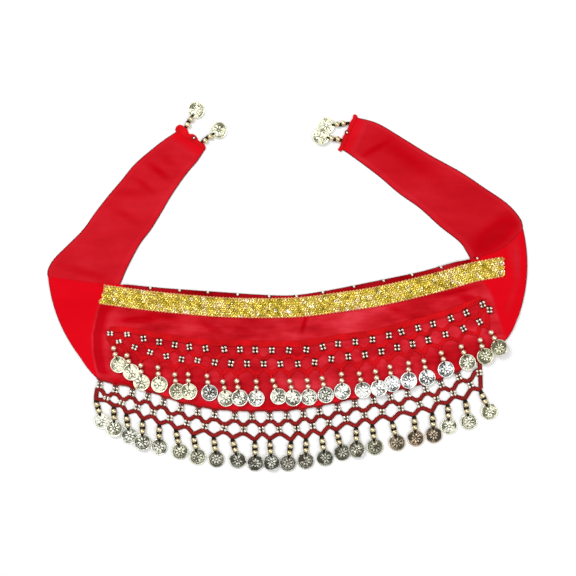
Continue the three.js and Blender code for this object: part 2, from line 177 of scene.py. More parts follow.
def crease_height(creases, x, y):
    height = 0.0
    for from_x, from_y, to_x, to_y, reach, high in creases:
        dx, dy = to_x - from_x, to_y - from_y
        t = min(max(((x - from_x) * dx + (y - from_y) * dy) / (dx * dx + dy * dy), 0.0), 1.0)
        away = math.hypot(x - from_x - dx * t, y - from_y - dy * t)
        near = max(0.0, 1 - (away / reach) ** 2)
        height = max(height, high * near * near * min(1.0, 0.35 + 2.6 * t * (1 - t)))
    return height


def lift_at(x, y):
    lifts = []
    for line_x, line_y, in_x, in_y in SLOPES:
        inward = (x - line_x) * in_x + (y - line_y) * in_y
        lifts.append(1 - min(max((inward - SLOPE_STARTS) / SLOPE_RUNS, 0.0), 1.0))
    return LAYER * max(lifts)


def panel_point(u, v):
    """Place on the panel: u counts sections from the left fold, v runs from bottom to top hem."""
    sections = np.arange(len(PANEL["bow"]))
    top_x, top_y, bottom_x, bottom_y, bow = (
        curve_at(sections, PANEL[column], u)
        for column in ("top_x", "top_y", "bottom_x", "bottom_y", "bow")
    )
    dx, dy = top_x - bottom_x, top_y - bottom_y
    bulge = bow * 4 * v * (1 - v) / math.hypot(dx, dy)
    return bottom_x + dx * v + dy * bulge, bottom_y + dy * v - dx * bulge


def side_of(line, x, y):
    """Distance from a line of points, positive on its left."""
    best, sign = 1e9, 1.0
    for (ax, ay), (bx, by) in zip(line, line[1:]):
        dx, dy = bx - ax, by - ay
        t = min(max(((x - ax) * dx + (y - ay) * dy) / (dx * dx + dy * dy), 0.0), 1.0)
        away = math.hypot(x - ax - dx * t, y - ay - dy * t)
        if away < best:
            best, sign = away, 1.0 if dx * (y - ay) - dy * (x - ax) > 0 else -1.0
    return best * sign


def soft_step(value, start, end):
    t = min(max((value - start) / (end - start), 0.0), 1.0)
    return t * t * (3 - 2 * t)


def rounded(distance, reach):
    """Share of full height at a distance in from a rounded edge."""
    return math.sqrt(1 - (1 - min(distance / reach, 1.0)) ** 2)


def shell(rows, columns, point, names):
    """A closed thin shell: point(row, column) gives plan, top, underside and named values."""
    values = {name: [] for name in names}
    tops, unders = [], []
    for row in rows:
        for column in columns:
            x, y, top, under, marks = point(row, column)
            tops.append((x, y, top))
            unders.append((x, y, under))
            for name, mark in zip(names, marks):
                values[name].append(mark)
    wide, high = len(columns), len(rows)
    count = wide * high
    faces = []
    for r in range(high - 1):
        for c in range(wide - 1):
            a = r * wide + c
            faces.append((a, a + 1, a + wide + 1, a + wide))
            faces.append((count + a, count + a + wide, count + a + wide + 1, count + a + 1))
    ring = [*range(wide), *range(2 * wide - 1, count, wide)]
    ring += [*range(count - 2, count - wide - 1, -1), *range(count - 2 * wide, 0, -wide)]
    for a, b in zip(ring, ring[1:] + ring[:1]):
        faces.append((b, a, count + a, count + b))
    return tops + unders, faces, {name: marks * 2 for name, marks in values.items()}


def mesh_piece(name, points, faces, finish, values):
    """A smooth mesh from points in table millimetres, riding with the scarf."""
    mesh = bpy.data.meshes.new(name)
    mesh.from_pydata(((np.asarray(points, float) + TO_FRAME) * MM).tolist(), [], faces)
    for attribute, numbers in values.items():
        layer = mesh.attributes.new(attribute, "FLOAT", "POINT")
        layer.data.foreach_set("value", np.asarray(numbers, np.float32))
    mesh.materials.append(finish)
    mesh.shade_smooth()
    piece = added(name, mesh)
    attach(piece, "root")
    return piece


def new_finish(name):
    material = bpy.data.materials.new(name)
    material.use_nodes = True
    tree = material.node_tree
    return material, tree, tree.nodes["Principled BSDF"]


def dress(tree, made, inputs):
    """Fill a node's inputs, each with a value or with another node's socket."""
    for key, value in inputs.items():
        if isinstance(value, bpy.types.NodeSocket):
            tree.links.new(value, made.inputs[key])
        else:
            made.inputs[key].default_value = value


def node(tree, kind, inputs=None, **settings):
    made = tree.nodes.new(kind)
    for key, value in settings.items():
        setattr(made, key, value)
    dress(tree, made, inputs or {})
    return made


def ramp(tree, factor, stops):
    made = node(tree, "ShaderNodeValToRGB", {"Fac": factor})
    elements = made.color_ramp.elements
    while len(elements) < len(stops):
        elements.new(0.5)
    for element, (position, colour) in zip(elements, stops):
        element.position = position
        element.color = (*colour, 1)
    return made.outputs["Color"]


def attribute(tree, name):
    return node(tree, "ShaderNodeAttribute", attribute_name=name).outputs["Fac"]


def object_place(tree, scale=(1, 1, 1), turn=0.0):
    place = node(tree, "ShaderNodeTexCoord").outputs["Object"]
    inputs = {"Vector": place, "Scale": scale, "Rotation": (0, 0, turn)}
    return node(tree, "ShaderNodeMapping", inputs).outputs["Vector"]


def cloud(tree, place, scale, detail=3.0, rough=0.5):
    inputs = {"Vector": place, "Scale": scale, "Detail": detail, "Roughness": rough}
    return node(tree, "ShaderNodeTexNoise", inputs).outputs["Fac"]


def blend_colours(tree, kind, factor, a, b):
    inputs = {0: factor, 6: a, 7: b}
    return node(tree, "ShaderNodeMix", inputs, data_type="RGBA", blend_type=kind).outputs[2]


def maths(tree, kind, *values):
    return node(tree, "ShaderNodeMath", dict(enumerate(values)), operation=kind).outputs[0]


def ranged(tree, value, start=0.0, end=1.0, low=0.0, high=1.0):
    """The value's run from start to end, made to run from low to high."""
    inputs = {"Value": value, "From Min": start, "From Max": end, "To Min": low, "To Max": high}
    return node(tree, "ShaderNodeMapRange", inputs).outputs[0]


def bumps(tree, height, strength, depth, **more):
    inputs = {"Height": height, "Strength": strength, "Distance": depth, **more}
    return node(tree, "ShaderNodeBump", inputs).outputs[0]


# Red chiffon: crimson where it is single, a purer red where it is doubled, darker at the top hem.
WEAVE = 0.00045
SINGLE = (0.605, 0.0135, 0.0235)
# The two lower stops also serve as painted shade of creases, puckers, folds and the band by the left
# strap; the straps' plain deeper red comes partly from the first.
PUCKER_SHADE_RED = (0.53, 0.0012, 0.0065)
DOUBLED = (0.745, 0.0003, 0.0065)
TOP_HEM_AND_SHADE_RED = (0.38, 0.004, 0.0075)
chiffon, tree, shader = new_finish("red_chiffon")
layers_and_shade = maths(tree, "MULTIPLY_ADD", attribute(tree, "layers_and_shade"), 0.5, 0.5)
dyed = ramp(tree, layers_and_shade, [(0.0, TOP_HEM_AND_SHADE_RED), (0.25, PUCKER_SHADE_RED), (0.5, SINGLE), (1.0, DOUBLED)])
flat_place = object_place(tree)
patches = cloud(tree, object_place(tree, (1, 1.7, 1), 0.3), 17.0, 4.0, 0.55)
mottle = ramp(tree, patches, [(0.36, (0.80, 0.42, 0.5)), (0.5, (1, 1, 1)), (0.66, (1.17, 2.4, 2.1))])
puckered = attribute(tree, "puckered")
dyed = blend_colours(tree, "MULTIPLY", puckered, dyed, mottle)
streaky = cloud(tree, object_place(tree, (0.45, 2.2, 1), 0.12), 34.0, 3.0, 0.6)
streaks = ramp(tree, streaky, [(0.36, (0.84, 0.6, 0.68)), (0.5, (1, 1, 1)), (0.64, (1.09, 1.6, 1.5))])
dyed = blend_colours(tree, "MULTIPLY", puckered, dyed, streaks)
threads = []
for direction in ("X", "Y"):
    inputs = {"Vector": flat_place, "Scale": 0.314 / WEAVE, "Distortion": 0.6, "Detail": 1.0}
    settings = {"bands_direction": direction, "wave_profile": "SIN"}
    threads.append(node(tree, "ShaderNodeTexWave", inputs, **settings).outputs["Fac"])
weave = maths(tree, "MULTIPLY", threads[0], threads[1])
tint = ramp(tree, weave, [(0.0, (0.9, 0.86, 0.86)), (0.6, (1.04, 1.04, 1.04))])
crumple = cloud(tree, object_place(tree, (1, 2.4, 1), 0.25), 70.0, 4.0, 0.6)
dress(tree, shader, {
    "Base Color": blend_colours(tree, "MULTIPLY", 1.0, dyed, tint),
    "Normal": bumps(tree, weave, 0.3, 0.0001, Normal=bumps(tree, crumple, 0.25, 0.0012)),
    "Roughness": 0.78,
    "Specular IOR Level": 0.006,
    "Sheen Weight": 0.01,
    "Sheen Tint": (1, 0.12, 0.16, 1),
})

LAST = len(PANEL["bow"]) - 1
panel_columns = [0, 0.01, 0.03, 0.06, 0.1, 0.15, 0.22]
panel_columns += list(np.linspace(0.3, LAST - 0.3, 210))
panel_columns += [LAST - c for c in panel_columns[6::-1]]
panel_rows = [0, 0.002, 0.005, 0.009, 0.016, 0.03, 0.045, 0.06, 0.067, 0.075]
panel_rows += list(np.linspace(0.09, 0.93, 46)) + [0.95, 0.965, 0.978, 0.984, 0.99, 0.995, 0.998, 1]


def panel_cloth(v, u):
    x, y = panel_point(u, v)
    tall = math.dist(panel_point(u, 0), panel_point(u, 1))
    from_fold = min(math.dist((x, y), panel_point(0, v)), math.dist((x, y), panel_point(LAST, v)))
    from_bottom, from_top = tall * v, tall * (1 - v)

    # Height: the straps below, the turned hems, the creases and a slight ripple. The rim of each fold
    # and of the bottom hem curls down beside the strap.
    lift = lift_at(x, y) if 3 < u < LAST - 3 else LAYER
    bottom_hem = 1 - soft_step(from_bottom, HEM_DEPTH - 0.5, HEM_DEPTH + 0.5)
    top_hem = 1 - soft_step(from_top, TOP_ROLL - 0.4, TOP_ROLL + 0.4)
    ripple = PANEL_RIPPLE * noise.noise((x * 0.035 + y * 0.02, y * 0.11 - x * 0.015, 3.1))
    creases = crease_height(PANEL_CREASES, x, y)
    full = CLOTH + lift + HEM_RISE * max(bottom_hem, top_hem) + creases + ripple
    curl = max(1 - soft_step(from_fold, 2.0, 6.0), 1 - soft_step(from_bottom, 1.5, 5.0))
    under = lift * (1 - curl * soft_step(from_top, 2.0, 9.0))
    edge = min(rounded(from_fold, FOLD_ROUND), rounded(from_bottom, HEM_ROUND + lift * 0.8),
               rounded(from_top, HEM_ROUND))
    middle = (full + under) / 2

    # Colour: brighter where the cloth is doubled and in the bottom hem, darker in the top hem and a
    # little towards both sides, with painted shade along the creases and puckers and in a band beside
    # the left strap.
    beside_left = side_of(SHOWS_LEFT, x, y) if x < 0 else FAR
    beside_right = -side_of(SHOWS_RIGHT, x, y) if x > 0 else FAR
    doubled = soft_step(-min(beside_left, beside_right), -1.5, 2.5)
    bright = max(0.97 * doubled, 0.5 - 0.5 * soft_step(from_bottom, HEM_DEPTH - 2, HEM_DEPTH + 2))
    strap_edge_shade = (1 - doubled) * (1 - soft_step(beside_left, 4.0, 15.0))
    dark = (1 - doubled) * (1 - soft_step(from_top, 5.0, 9.0)) + crease_height(PAINTED_CREASE_SHADE, x, y)
    dark += 0.5 * strap_edge_shade + SIDES_DARKER * soft_step(abs(x - 10), 60, 120)
    marks = [bright - dark, 1 - max(0.85 * doubled, 0.7 * strap_edge_shade)]
    return x, y, middle + (full - middle) * edge, middle - (middle - under) * edge, marks


points, faces, values = shell(panel_rows, panel_columns, panel_cloth, ["layers_and_shade", "puckered"])
panel = mesh_piece("panel_chiffon", points, faces, chiffon, values)
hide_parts("scarf_panel")

# ---------------------------------------------------------------------------------------------
# Straps: the two ends of the same band, narrowing to a short cut end. Each leaves the fold, runs up
# behind the panel and comes out over its top hem, with a narrow turned hem along both edges.
STRAP_HEM = 4.2
STRAP_RIPPLE = 0.3
STRAP_PUCKERED = 0.3
# Sections of each strap, from its cut end to its tip behind the panel.
STRAP_LEFT = table("outer_x outer_y inner_x inner_y", [
    [-110.5, 156.5, -83, 139],
    [-123, 148.2, -91, 127],
    [-135, 139, -102, 114],
    [-153, 123.4, -116, 94],
    [-166, 107.6, -126, 77],
    [-179.6, 91.6, -137, 59],
    [-192.2, 75.4, -147, 46],
    [-204, 58.8, -155, 32],
    [-218.8, 43.6, -162, 18],
    [-233.4, 29, -168, 4],
    [-239.8, 17.5, -171, -1],
    [-238.8, 9.5, -172.6, -3.6],
    [-233.8, 4, -175, -8],
    [-231.4, -10, -183, -19],
    [-224.2, -32, -193, -34],
    [-213, -54, -195, -54],
    [-203, -69, -194.5, -72],
    [-196, -77.5, -191.5, -81],
])
STRAP_RIGHT = table("outer_x outer_y inner_x inner_y", [
    [68, 170.3, 54, 139],
    [90, 164, 67, 130],
    [117, 148, 91, 112],
    [143, 132, 111, 95],
    [172, 116, 132, 80],
    [196, 100, 152, 62],
    [219, 84, 171, 47],
    [232, 69, 178.4, 37],
    [234.4, 58, 184, 26],
    [233, 50.5, 186.3, 18.5],
    [233.2, 36, 191, 6],
    [233, 12, 200, -17],
    [229.5, -12, 208, -36],
    [225, -28, 214, -46],
])
STRAP_CREASES = [
    [-138, 125, -118, 110, 9, 1.6],
    [-151, 108, -132, 94, 8, 1.3],
    [-176, 83, -148, 66, 9, 1.2],
    [-214, 34, -184, 24, 7, 1.0],
    [72, 130, 108, 145, 8, 1.8],
    [110, 98, 152, 82, 9, 1.2],
    [152, 110, 180, 92, 9, 1.2],
    [198, 66, 203, 56, 6, 1.3],
]
# Painted shade on each strap: along its creases and puckers, beside its fold and by the panel's top hem,
# written as the creases are.
STRAP_PAINTED_SHADE = [
    [228, 70, 186, 36, 19, 0.9],
    [206, 56, 212, 40, 5, 0.5],
    [90, 150, 150, 110, 14, 0.5],
    [73, 131, 105, 149, 5, 0.8],
    [-228, 22, -176, 8, 7, 0.5],
    [-172, 94, -140, 96, 9, 0.35],
    [-126, 132, -112, 122, 8, 0.4],
    [-141, 125, -117, 108, 6, 0.75],
    [-153, 110, -134, 95, 6, 0.6],
    [-178, 82, -150, 66, 7, 0.45],
]
STRAP_ACROSS = [0, 0.01, 0.025, 0.05, 0.08, *np.linspace(0.11, 0.89, 30), 0.92, 0.95, 0.975, 0.99, 1]


def strap_point(rows, u, v):
    """Place on a strap: u counts sections from the cut end, v runs from inner to outer edge."""
    keys = np.arange(len(rows["outer_x"]))
    ends = [curve_at(keys, rows[c], u) for c in ("inner_x", "inner_y", "outer_x", "outer_y")]
    return ends[0] + (ends[2] - ends[0]) * v, ends[1] + (ends[3] - ends[1]) * v


def strap_cloth(rows, out_at):
    """Cloth of one strap; beyond section out_at it lies hidden under the panel."""
    last = len(rows["outer_x"]) - 1

    def cloth(u, v):
        x, y = strap_point(rows, u, v)
        wide = math.dist(strap_point(rows, u, 0), strap_point(rows, u, 1))
        cut = math.dist((x, y), strap_point(rows, 0, v)) if u < 2 else FAR
        tip = math.dist((x, y), strap_point(rows, last, v)) if u > last - 2 else FAR
        inner, outer = wide * v, wide * (1 - v)
        shows = 1 - soft_step(u, out_at - 0.6, out_at)
        ripple = STRAP_RIPPLE * shows * noise.noise((x * 0.05 + y * 0.03, y * 0.06 - x * 0.03, 7.7))
        full = CLOTH + crease_height(STRAP_CREASES, x, y) + ripple * rounded(min(inner, outer), 9)
        edge = rounded(min(inner, outer, cut, tip), HEM_ROUND)
        bright = max(1 - soft_step(inner, STRAP_HEM - 1.5, STRAP_HEM + 2),
                     1 - soft_step(outer, STRAP_HEM * 0.5, STRAP_HEM * 0.5 + 1.6),
                     2.2 - 2.2 * soft_step(cut, 3.0, 16.0))
        # Darker by the painted shade of creases, fold and hem, and a deeper red all over, more on the
        # right strap.
        dark = crease_height(STRAP_PAINTED_SHADE, x, y) + (0.45 if x > 0 else 0.27)
        marks = [0.4 * bright - 0.5 * dark, STRAP_PUCKERED]
        return x, y, full / 2 * (1 + edge), full / 2 * (1 - edge), marks

    return cloth


# Each strap: its piece, its solid, its sections, where it comes out, and its flat size and area.
STRAPS = [
    ("left_strap_chiffon", "strap_left", STRAP_LEFT, 11, (0.305, 0.056), 0.0145),
    ("right_strap_chiffon", "strap_right", STRAP_RIGHT, 8.5, (0.295, 0.058), 0.0145),
]
for name, solid, rows, out_at, flat, area in STRAPS:
    last = len(rows["outer_x"]) - 1
    along = [0, 0.02, 0.05, 0.09, 0.15, *np.linspace(0.24, last - 0.2, last * 10)]
    along += [last - 0.1, last - 0.04, last]
    points, faces, values = shell(along, STRAP_ACROSS, strap_cloth(rows, out_at), ["layers_and_shade", "puckered"])
    if name.startswith("left"):
        faces = [face[::-1] for face in faces]
    strap = mesh_piece(name, points, faces, chiffon, values)
    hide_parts(solid)

# ---------------------------------------------------------------------------------------------
# Edge threads: a thin dark red thread runs along every edge of the band.
EDGE_THREAD = 0.5


def ring_faces(rings, sides, closed=False):
    """Faces from each ring of points to the next, closed round to the first or capped at both ends."""
    count = rings * sides
    caps = [tuple(range(sides)), tuple(range(count - 1, count - sides - 1, -1))]
    faces = [] if closed else caps
    for i in range(rings if closed else rings - 1):
        for j in range(sides):
            a, b = i * sides + j, i * sides + (j + 1) % sides
            faces.append((a, (a + sides) % count, (b + sides) % count, b))
    return faces


def tube(path, radius, sides=5):
    """Points and faces of a capped tube along a path; radius may change along it."""
    path = np.asarray(path, float)
    along = np.gradient(path, axis=0)
    along /= np.linalg.norm(along, axis=1)[:, None]
    side = np.cross(along, [0.0, 0.0, 1.0])
    side[np.linalg.norm(side, axis=1) < 1e-3] = [1.0, 0.0, 0.0]
    side /= np.linalg.norm(side, axis=1)[:, None]
    up = np.cross(side, along)
    turns = np.arange(sides) * 2 * np.pi / sides
    ring = side[:, None] * np.cos(turns)[:, None] + up[:, None] * np.sin(turns)[:, None]
    points = path[:, None] + ring * np.reshape(radius, (-1, 1, 1))
    return points.reshape(-1, 3), ring_faces(len(path), sides)


def joined(parts):
    """One mesh out of many (points, faces) or (points, faces, values) parts."""
    points, faces, values, count = [], [], {}, 0
    for part in parts:
        points.append(np.asarray(part[0], float))
        faces += [tuple(k + count for k in face) for face in part[1]]
        for name, numbers in (part[2] if len(part) > 2 else {}).items():
            values.setdefault(name, []).append(np.broadcast_to(numbers, len(part[0])))
        count += len(part[0])
    return np.vstack(points), faces, {name: np.concatenate(v) for name, v in values.items()}


def joined_piece(name, parts, finish):
    points, faces, values = joined(parts)
    return mesh_piece(name, points, faces, finish, values)


def evenly(line, step):
    """The line's points, spaced evenly along it."""
    line = np.asarray(line, float)
    runs = np.r_[0, np.cumsum(np.linalg.norm(np.diff(line, axis=0), axis=1))]
    at = np.linspace(0, runs[-1], max(int(runs[-1] / step), 3) + 1)
    return np.column_stack([np.interp(at, runs, line[:, k]) for k in range(line.shape[1])])


def spun_finish(name, deep, bright, scale, bump, rough, specular=0.5, detail=2.0):
    """Spun thread or tape, deep and bright by turns; bump is its twist's strength and depth."""
    material, tree, shader = new_finish(name)
    twist = cloud(tree, object_place(tree), scale, detail)
    dress(tree, shader, {
        "Base Color": ramp(tree, twist, [(0.3, deep), (0.7, bright)]),
        "Normal": bumps(tree, twist, *bump),
        "Roughness": rough,
        "Specular IOR Level": specular,
    })
    return material


edge_thread = spun_finish("edge_thread", (0.09, 0.003, 0.006), (0.25, 0.004, 0.01),
                          900.0, (0.6, 0.0004), 0.8, 0.1)
panel_line = np.linspace(0, LAST, 300)
bare_top = np.linspace(2.8, 15.1, 220)  # between the two straps
rim_lines = [
    [(*panel_point(u, 1), 0.7 + lift_at(*panel_point(u, 1))) for u in bare_top],
    [(*panel_point(u, 0), 0.75) for u in panel_line],
]
for u in (0, LAST):
    rim_lines.append([(*panel_point(u, v), 1.1) for v in np.linspace(0, 1, 80)])
for rows, out_at in ((STRAP_LEFT, 10.7), (STRAP_RIGHT, 8)):
    for v in (0, 1):
        rim_lines.append([(*strap_point(rows, u, v), 0.5) for u in np.linspace(0, out_at, 160)])
rims = [tube(evenly(line, 1.5), EDGE_THREAD) for line in rim_lines]
joined_piece("edge_threads", rims, edge_thread)

# ---------------------------------------------------------------------------------------------
# Top-hem beads: small silver beads, sewn on by hand at even steps along the panel's top edge.
SILVER_BEAD = 1.5
FINE_THREAD = 0.45
TOP_BEADS = [-137.6, -108.2, -80, -50.3, -18.8, 8.5, 35, 66, 95.6, 124, 153, 188.9]


def ball(sides, rings):
    """A unit ball with its poles along Y."""
    points, faces = [(0, 1, 0)], []
    for r in range(1, rings):
        high, wide = math.cos(math.pi * r / rings), math.sin(math.pi * r / rings)
        for s in range(sides):
            turn = 2 * math.pi * s / sides
            points.append((wide * math.cos(turn), high, wide * math.sin(turn)))
    points.append((0, -1, 0))
    end = len(points) - 1
    for s in range(sides):
        t = (s + 1) % sides
        faces.append((0, 1 + t, 1 + s))
        faces.append((end, end - sides + s, end - sides + t))
        for r in range(rings - 2):
            a, b = 1 + r * sides + s, 1 + r * sides + t
            faces.append((a, b, b + sides, a + sides))
    return np.array(points, float), faces


def bead(shape, size, spot):
    return shape[0] * size + spot, shape[1]


def metal_finish(name, pale, deep, rough, scale):
    """Plated bead metal, its plating thicker in one place than in another."""
    material, tree, shader = new_finish(name)
    patches = cloud(tree, object_place(tree), scale, 3.0)
    dress(tree, shader, {
        "Base Color": ramp(tree, patches, [(0.35, deep), (0.65, pale)]),
        "Normal": bumps(tree, patches, 0.2, 0.0002),
        "Roughness": ranged(tree, patches, low=rough, high=rough + 0.15),
        "Metallic": 1.0,
    })
    return material


def edge_y(x, v):
    """The y of the panel's bottom edge (v = 0) or top edge (v = 1) at this x."""
    return float(np.interp(x, *panel_edges[v]))


silver_bead = metal_finish("silver_bead", (0.98, 0.94, 0.86), (0.74, 0.66, 0.52), 0.2, 500.0)
small_ball = ball(12, 8)
panel_edges = [np.transpose([panel_point(u, v) for u in panel_line]) for v in (0, 1)]
parts, hem_loops = [], []
for x in TOP_BEADS:
    y = edge_y(x, 1) - 0.9
    z = CLOTH + HEM_RISE + lift_at(x, y) + 0.6
    parts.append(bead(small_ball, SILVER_BEAD, (x, y, z)))
    through = [(x - 1.4, y, z - 0.2), (x, y, z), (x + 1.4, y, z - 0.2)]
    hem_loops.append(tube([(x - 3, y + 0.7, z - 0.9), *through, (x + 3, y + 0.5, z - 0.9)], FINE_THREAD))
joined_piece("top_hem_beads", parts, silver_bead)

# ---------------------------------------------------------------------------------------------
# Sequin trim: a yellow tape covered with small gilt cup sequins, each sewn on at its own tilt, with
# a peach thread zigzagging along both edges. It is stitched on below the panel's top hem.
TRIM_HALF = 9.6
TAPE_THICK = 0.5
SEQUIN = 2.15
SEQUIN_HEIGHT = 1.0
SEQUIN_ROWS = 8
SEQUIN_STEP = 2.5
SEQUIN_STAGGER = 1.15
SEQUIN_TILT = 0.29
SHADE_SPREAD = 0.24
# The trim's centre line.
TRIM = table("x y", [
    [-184.5, -6.5],
    [-135, -13],
    [-76, -18.5],
    [-32, -20],
    [12, -19],
    [52.3, -14],
    [92, -7.8],
    [152, 6.4],
    [184, 15.6],
    [214, 21.3],
])


def trim_point(x, aside):
    """Plan of a place on the trim, aside of its centre line."""
    y = curve_at(TRIM["x"], TRIM["y"], x)
    slope = curve_at(TRIM["x"], TRIM["y"], x + 0.5) - curve_at(TRIM["x"], TRIM["y"], x - 0.5)
    long = math.hypot(1, slope)
    return x - aside * slope / long, y + aside / long


def sewn_on(x, y):
    """Height of the underside of what is sewn on the panel."""
    return CLOTH + GAP + lift_at(x, y)


def end_of_tape(aside):
    """The left end is cut on a slant and turned in as three soft lobes."""
    lobes = abs(math.sin(1.5 * math.pi * (aside + TRIM_HALF) / TRIM_HALF))
    return 3.8 * aside / TRIM_HALF + 2.4 - 2.4 * lobes


def tape(aside, x):
    px, py = trim_point(x, aside)
    under = sewn_on(px, py)
    return px, py, under + TAPE_THICK, under, []


tape_finish = spun_finish("trim_tape", (0.32, 0.20, 0.03), (0.62, 0.44, 0.11),
                          700.0, (0.5, 0.0004), 0.7, detail=3.0)
trim_start, trim_end = TRIM["x"][0], TRIM["x"][-1]
across = np.linspace(-TRIM_HALF + 0.6, TRIM_HALF - 0.6, 7)
points, faces, values = shell(across, np.linspace(trim_start, trim_end, 120), tape, [])
trim_tape = mesh_piece("trim_tape", points, faces, tape_finish, values)
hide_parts("sequin_trim")

# Gilt foil: each sequin takes its own tint from pale yellow to old gold; the spread out to near white
# and dark olive, with its larger patches along the trim, is in part painted glint and dark reflection.
gilt, tree, shader = new_finish("gilt_sequins")
shade = attribute(tree, "shade")
foil = ramp(tree, shade, [
    (0.0, (0.30, 0.23, 0.018)),
    (0.25, (0.62, 0.45, 0.036)),
    (0.5, (0.86, 0.64, 0.08)),
    (0.7, (0.92, 0.77, 0.2)),
    (0.85, (0.97, 0.69, 0.33)),
    (1.0, (1.0, 0.92, 0.7)),
])
dress(tree, shader, {
    "Base Color": foil,
    "Normal": bumps(tree, cloud(tree, object_place(tree), 2500.0, 2.0), 0.25, 0.0002),
    "Roughness": ranged(tree, shade, low=0.32, high=0.16),
    "Metallic": 0.85,
})

# A cup sequin: a flat rim round a shallow cup, with the needle's hole in the middle.
CUP = [(1.0, 0.0), (0.78, -0.02), (0.5, -0.2), (0.16, -0.26)]
CUP_SIDES = 9
cup = CUP + [(r * 0.99, h - 0.05) for r, h in CUP[::-1]]
turns = [2 * math.pi * s / CUP_SIDES for s in range(CUP_SIDES)]
cup_points = np.array([(r * math.cos(turn), r * math.sin(turn), h) for r, h in cup for turn in turns])
cup_faces = [(a, d, c, b) for a, b, c, d in ring_faces(len(cup), CUP_SIDES, closed=True)]

hand = random.Random(5)
row_places = np.linspace(2.1 - TRIM_HALF, TRIM_HALF - 2.1, SEQUIN_ROWS)
parts = []
for x in np.arange(trim_start - 2.4, trim_end - 0.6, SEQUIN_STEP):
    for k, aside in enumerate(row_places):
        if x - trim_start < end_of_tape(aside):
            continue
        sewn_x = x + (k % 2) * SEQUIN_STAGGER + hand.uniform(-0.5, 0.5)
        px, py = trim_point(sewn_x, aside + hand.uniform(-0.3, 0.3))
        spin = Matrix.Rotation(hand.uniform(0, 6.28), 3, "Z")
        tilt = Matrix.Rotation(abs(hand.gauss(0, SEQUIN_TILT)), 3, "X")
        size = SEQUIN * hand.uniform(0.85, 1.08)
        z = sewn_on(px, py) + SEQUIN_HEIGHT + hand.uniform(-0.15, 0.3)
        # Larger lighter and darker patches along the trim, in part painted glint and dark reflection.
        lot = 0.14 * noise.noise((px * 0.09, py * 0.09, 4.4))
        shade = min(max(hand.gauss(0.5 + lot, SHADE_SPREAD), 0), 1)
        turned = cup_points @ np.array(spin @ tilt).T
        parts.append((turned * size + (px, py, z), cup_faces, {"shade": shade}))
joined_piece("trim_sequins", parts, gilt)

# Peach zigzag thread along both edges, and round the folded-in ends.
PEACH_THREAD = 0.55
PEACH_WAVE = 0.5
PEACH_PITCH = 3.3
peach = spun_finish("peach_thread", (0.66, 0.25, 0.07), (0.93, 0.50, 0.22), 1200.0, (0.5, 0.0003), 0.6)
parts = []
for edge in (-1, 1):
    line = []
    for x in np.arange(trim_start, trim_end, 0.55):
        turn = 2 * math.pi * x / PEACH_PITCH
        px, py = trim_point(x, edge * (TRIM_HALF - 0.35 + PEACH_WAVE * math.sin(turn)))
        line.append((px, py, sewn_on(px, py) + 0.75 + 0.2 * math.cos(turn)))
    parts.append(tube(line, PEACH_THREAD))
for x in (trim_start, trim_end):
    line = []
    for aside in np.linspace(-TRIM_HALF, TRIM_HALF, 40):
        wave = 0.6 * abs(math.sin(2 * math.pi * aside / TRIM_HALF))
        px, py = trim_point(x + (end_of_tape(aside) - 1.2 if x < 0 else wave), aside)
        line.append((px, py, sewn_on(px, py) + 0.8))
    parts.append(tube(line, 0.5))
joined_piece("trim_edge_threads", parts, peach)

# ---------------------------------------------------------------------------------------------
# Nets: red cotton crochet in rows of open cells. The upper one is sewn on the panel below the trim
# and the lower one hangs from the bottom hem. The cords are worked as flat three-strand plaits.
CORD = 3.6
NET_THICK = 1.4
STRAND = 0.72
PLAIT_STEP = 0.8
PLAIT_TURN = 4.6
HEADING = 3.4
PITCH = 17.0
# Depths below a net's top line: the two rows of clusters, and the peaks and valleys of its cords.
CLUSTER_ONE = 4.9
MIDDLE_PEAK = 9.8
MIDDLE_VALLEY = 13.8
CLUSTER_TWO = 18.6
LOW_PEAK = 23.3
LOW_VALLEY = 29.0
# How far to each side the cords run level there, and where the lower cord bends between the two.
MIDDLE_PEAK_SIDE = 2.6
MIDDLE_VALLEY_SIDE = 2.0
LOW_PEAK_SIDE = 1.5
LOW_VALLEY_SIDE = 1.0
BEND_SIDE, BEND_DEPTH = 4.6, 25.2
COIN_AT = 21.9  # from a dangle's root to its coin
# Along each net: its top line's y, how deep it is and how far it fans out towards +X.
UPPER_LINE = table("x y deep fan", [
    [-184, -40.5, 0.57, 0.05],
    [-163, -40, 0.7, 0],
    [-143.5, -43, 0.9, -0.08],
    [-113, -48.3, 1, -0.05],
    [-83, -52, 1, 0],
    [-48, -53, 1, -0.02],
    [-16, -53.8, 1, 0.02],
    [18, -53.2, 1, 0.03],
    [49, -47.5, 1, 0.1],
    [84, -43, 1, 0.08],
    [112, -35.5, 1, 0.16],
    [145, -27, 1, 0.2],
    [178, -15.2, 1, 0.32],
    [198, -5.5, 0.92, 0.24],
])
LOWER_LINE = table("x deep fan", [
    [-188, 0.95, -0.1],
    [-172, 0.96, -0.09],
    [-155, 1, -0.16],
    [-123, 1.03, -0.16],
    [-90, 1.02, -0.12],
    [-60, 1, -0.03],
    [-18, 1, 0.05],
    [32, 1, 0.06],
    [60, 1, 0],
    [102, 1, 0.07],
    [140, 1, 0.2],
    [172, 1.05, 0.2],
    [191, 1.05, 0.05],
])
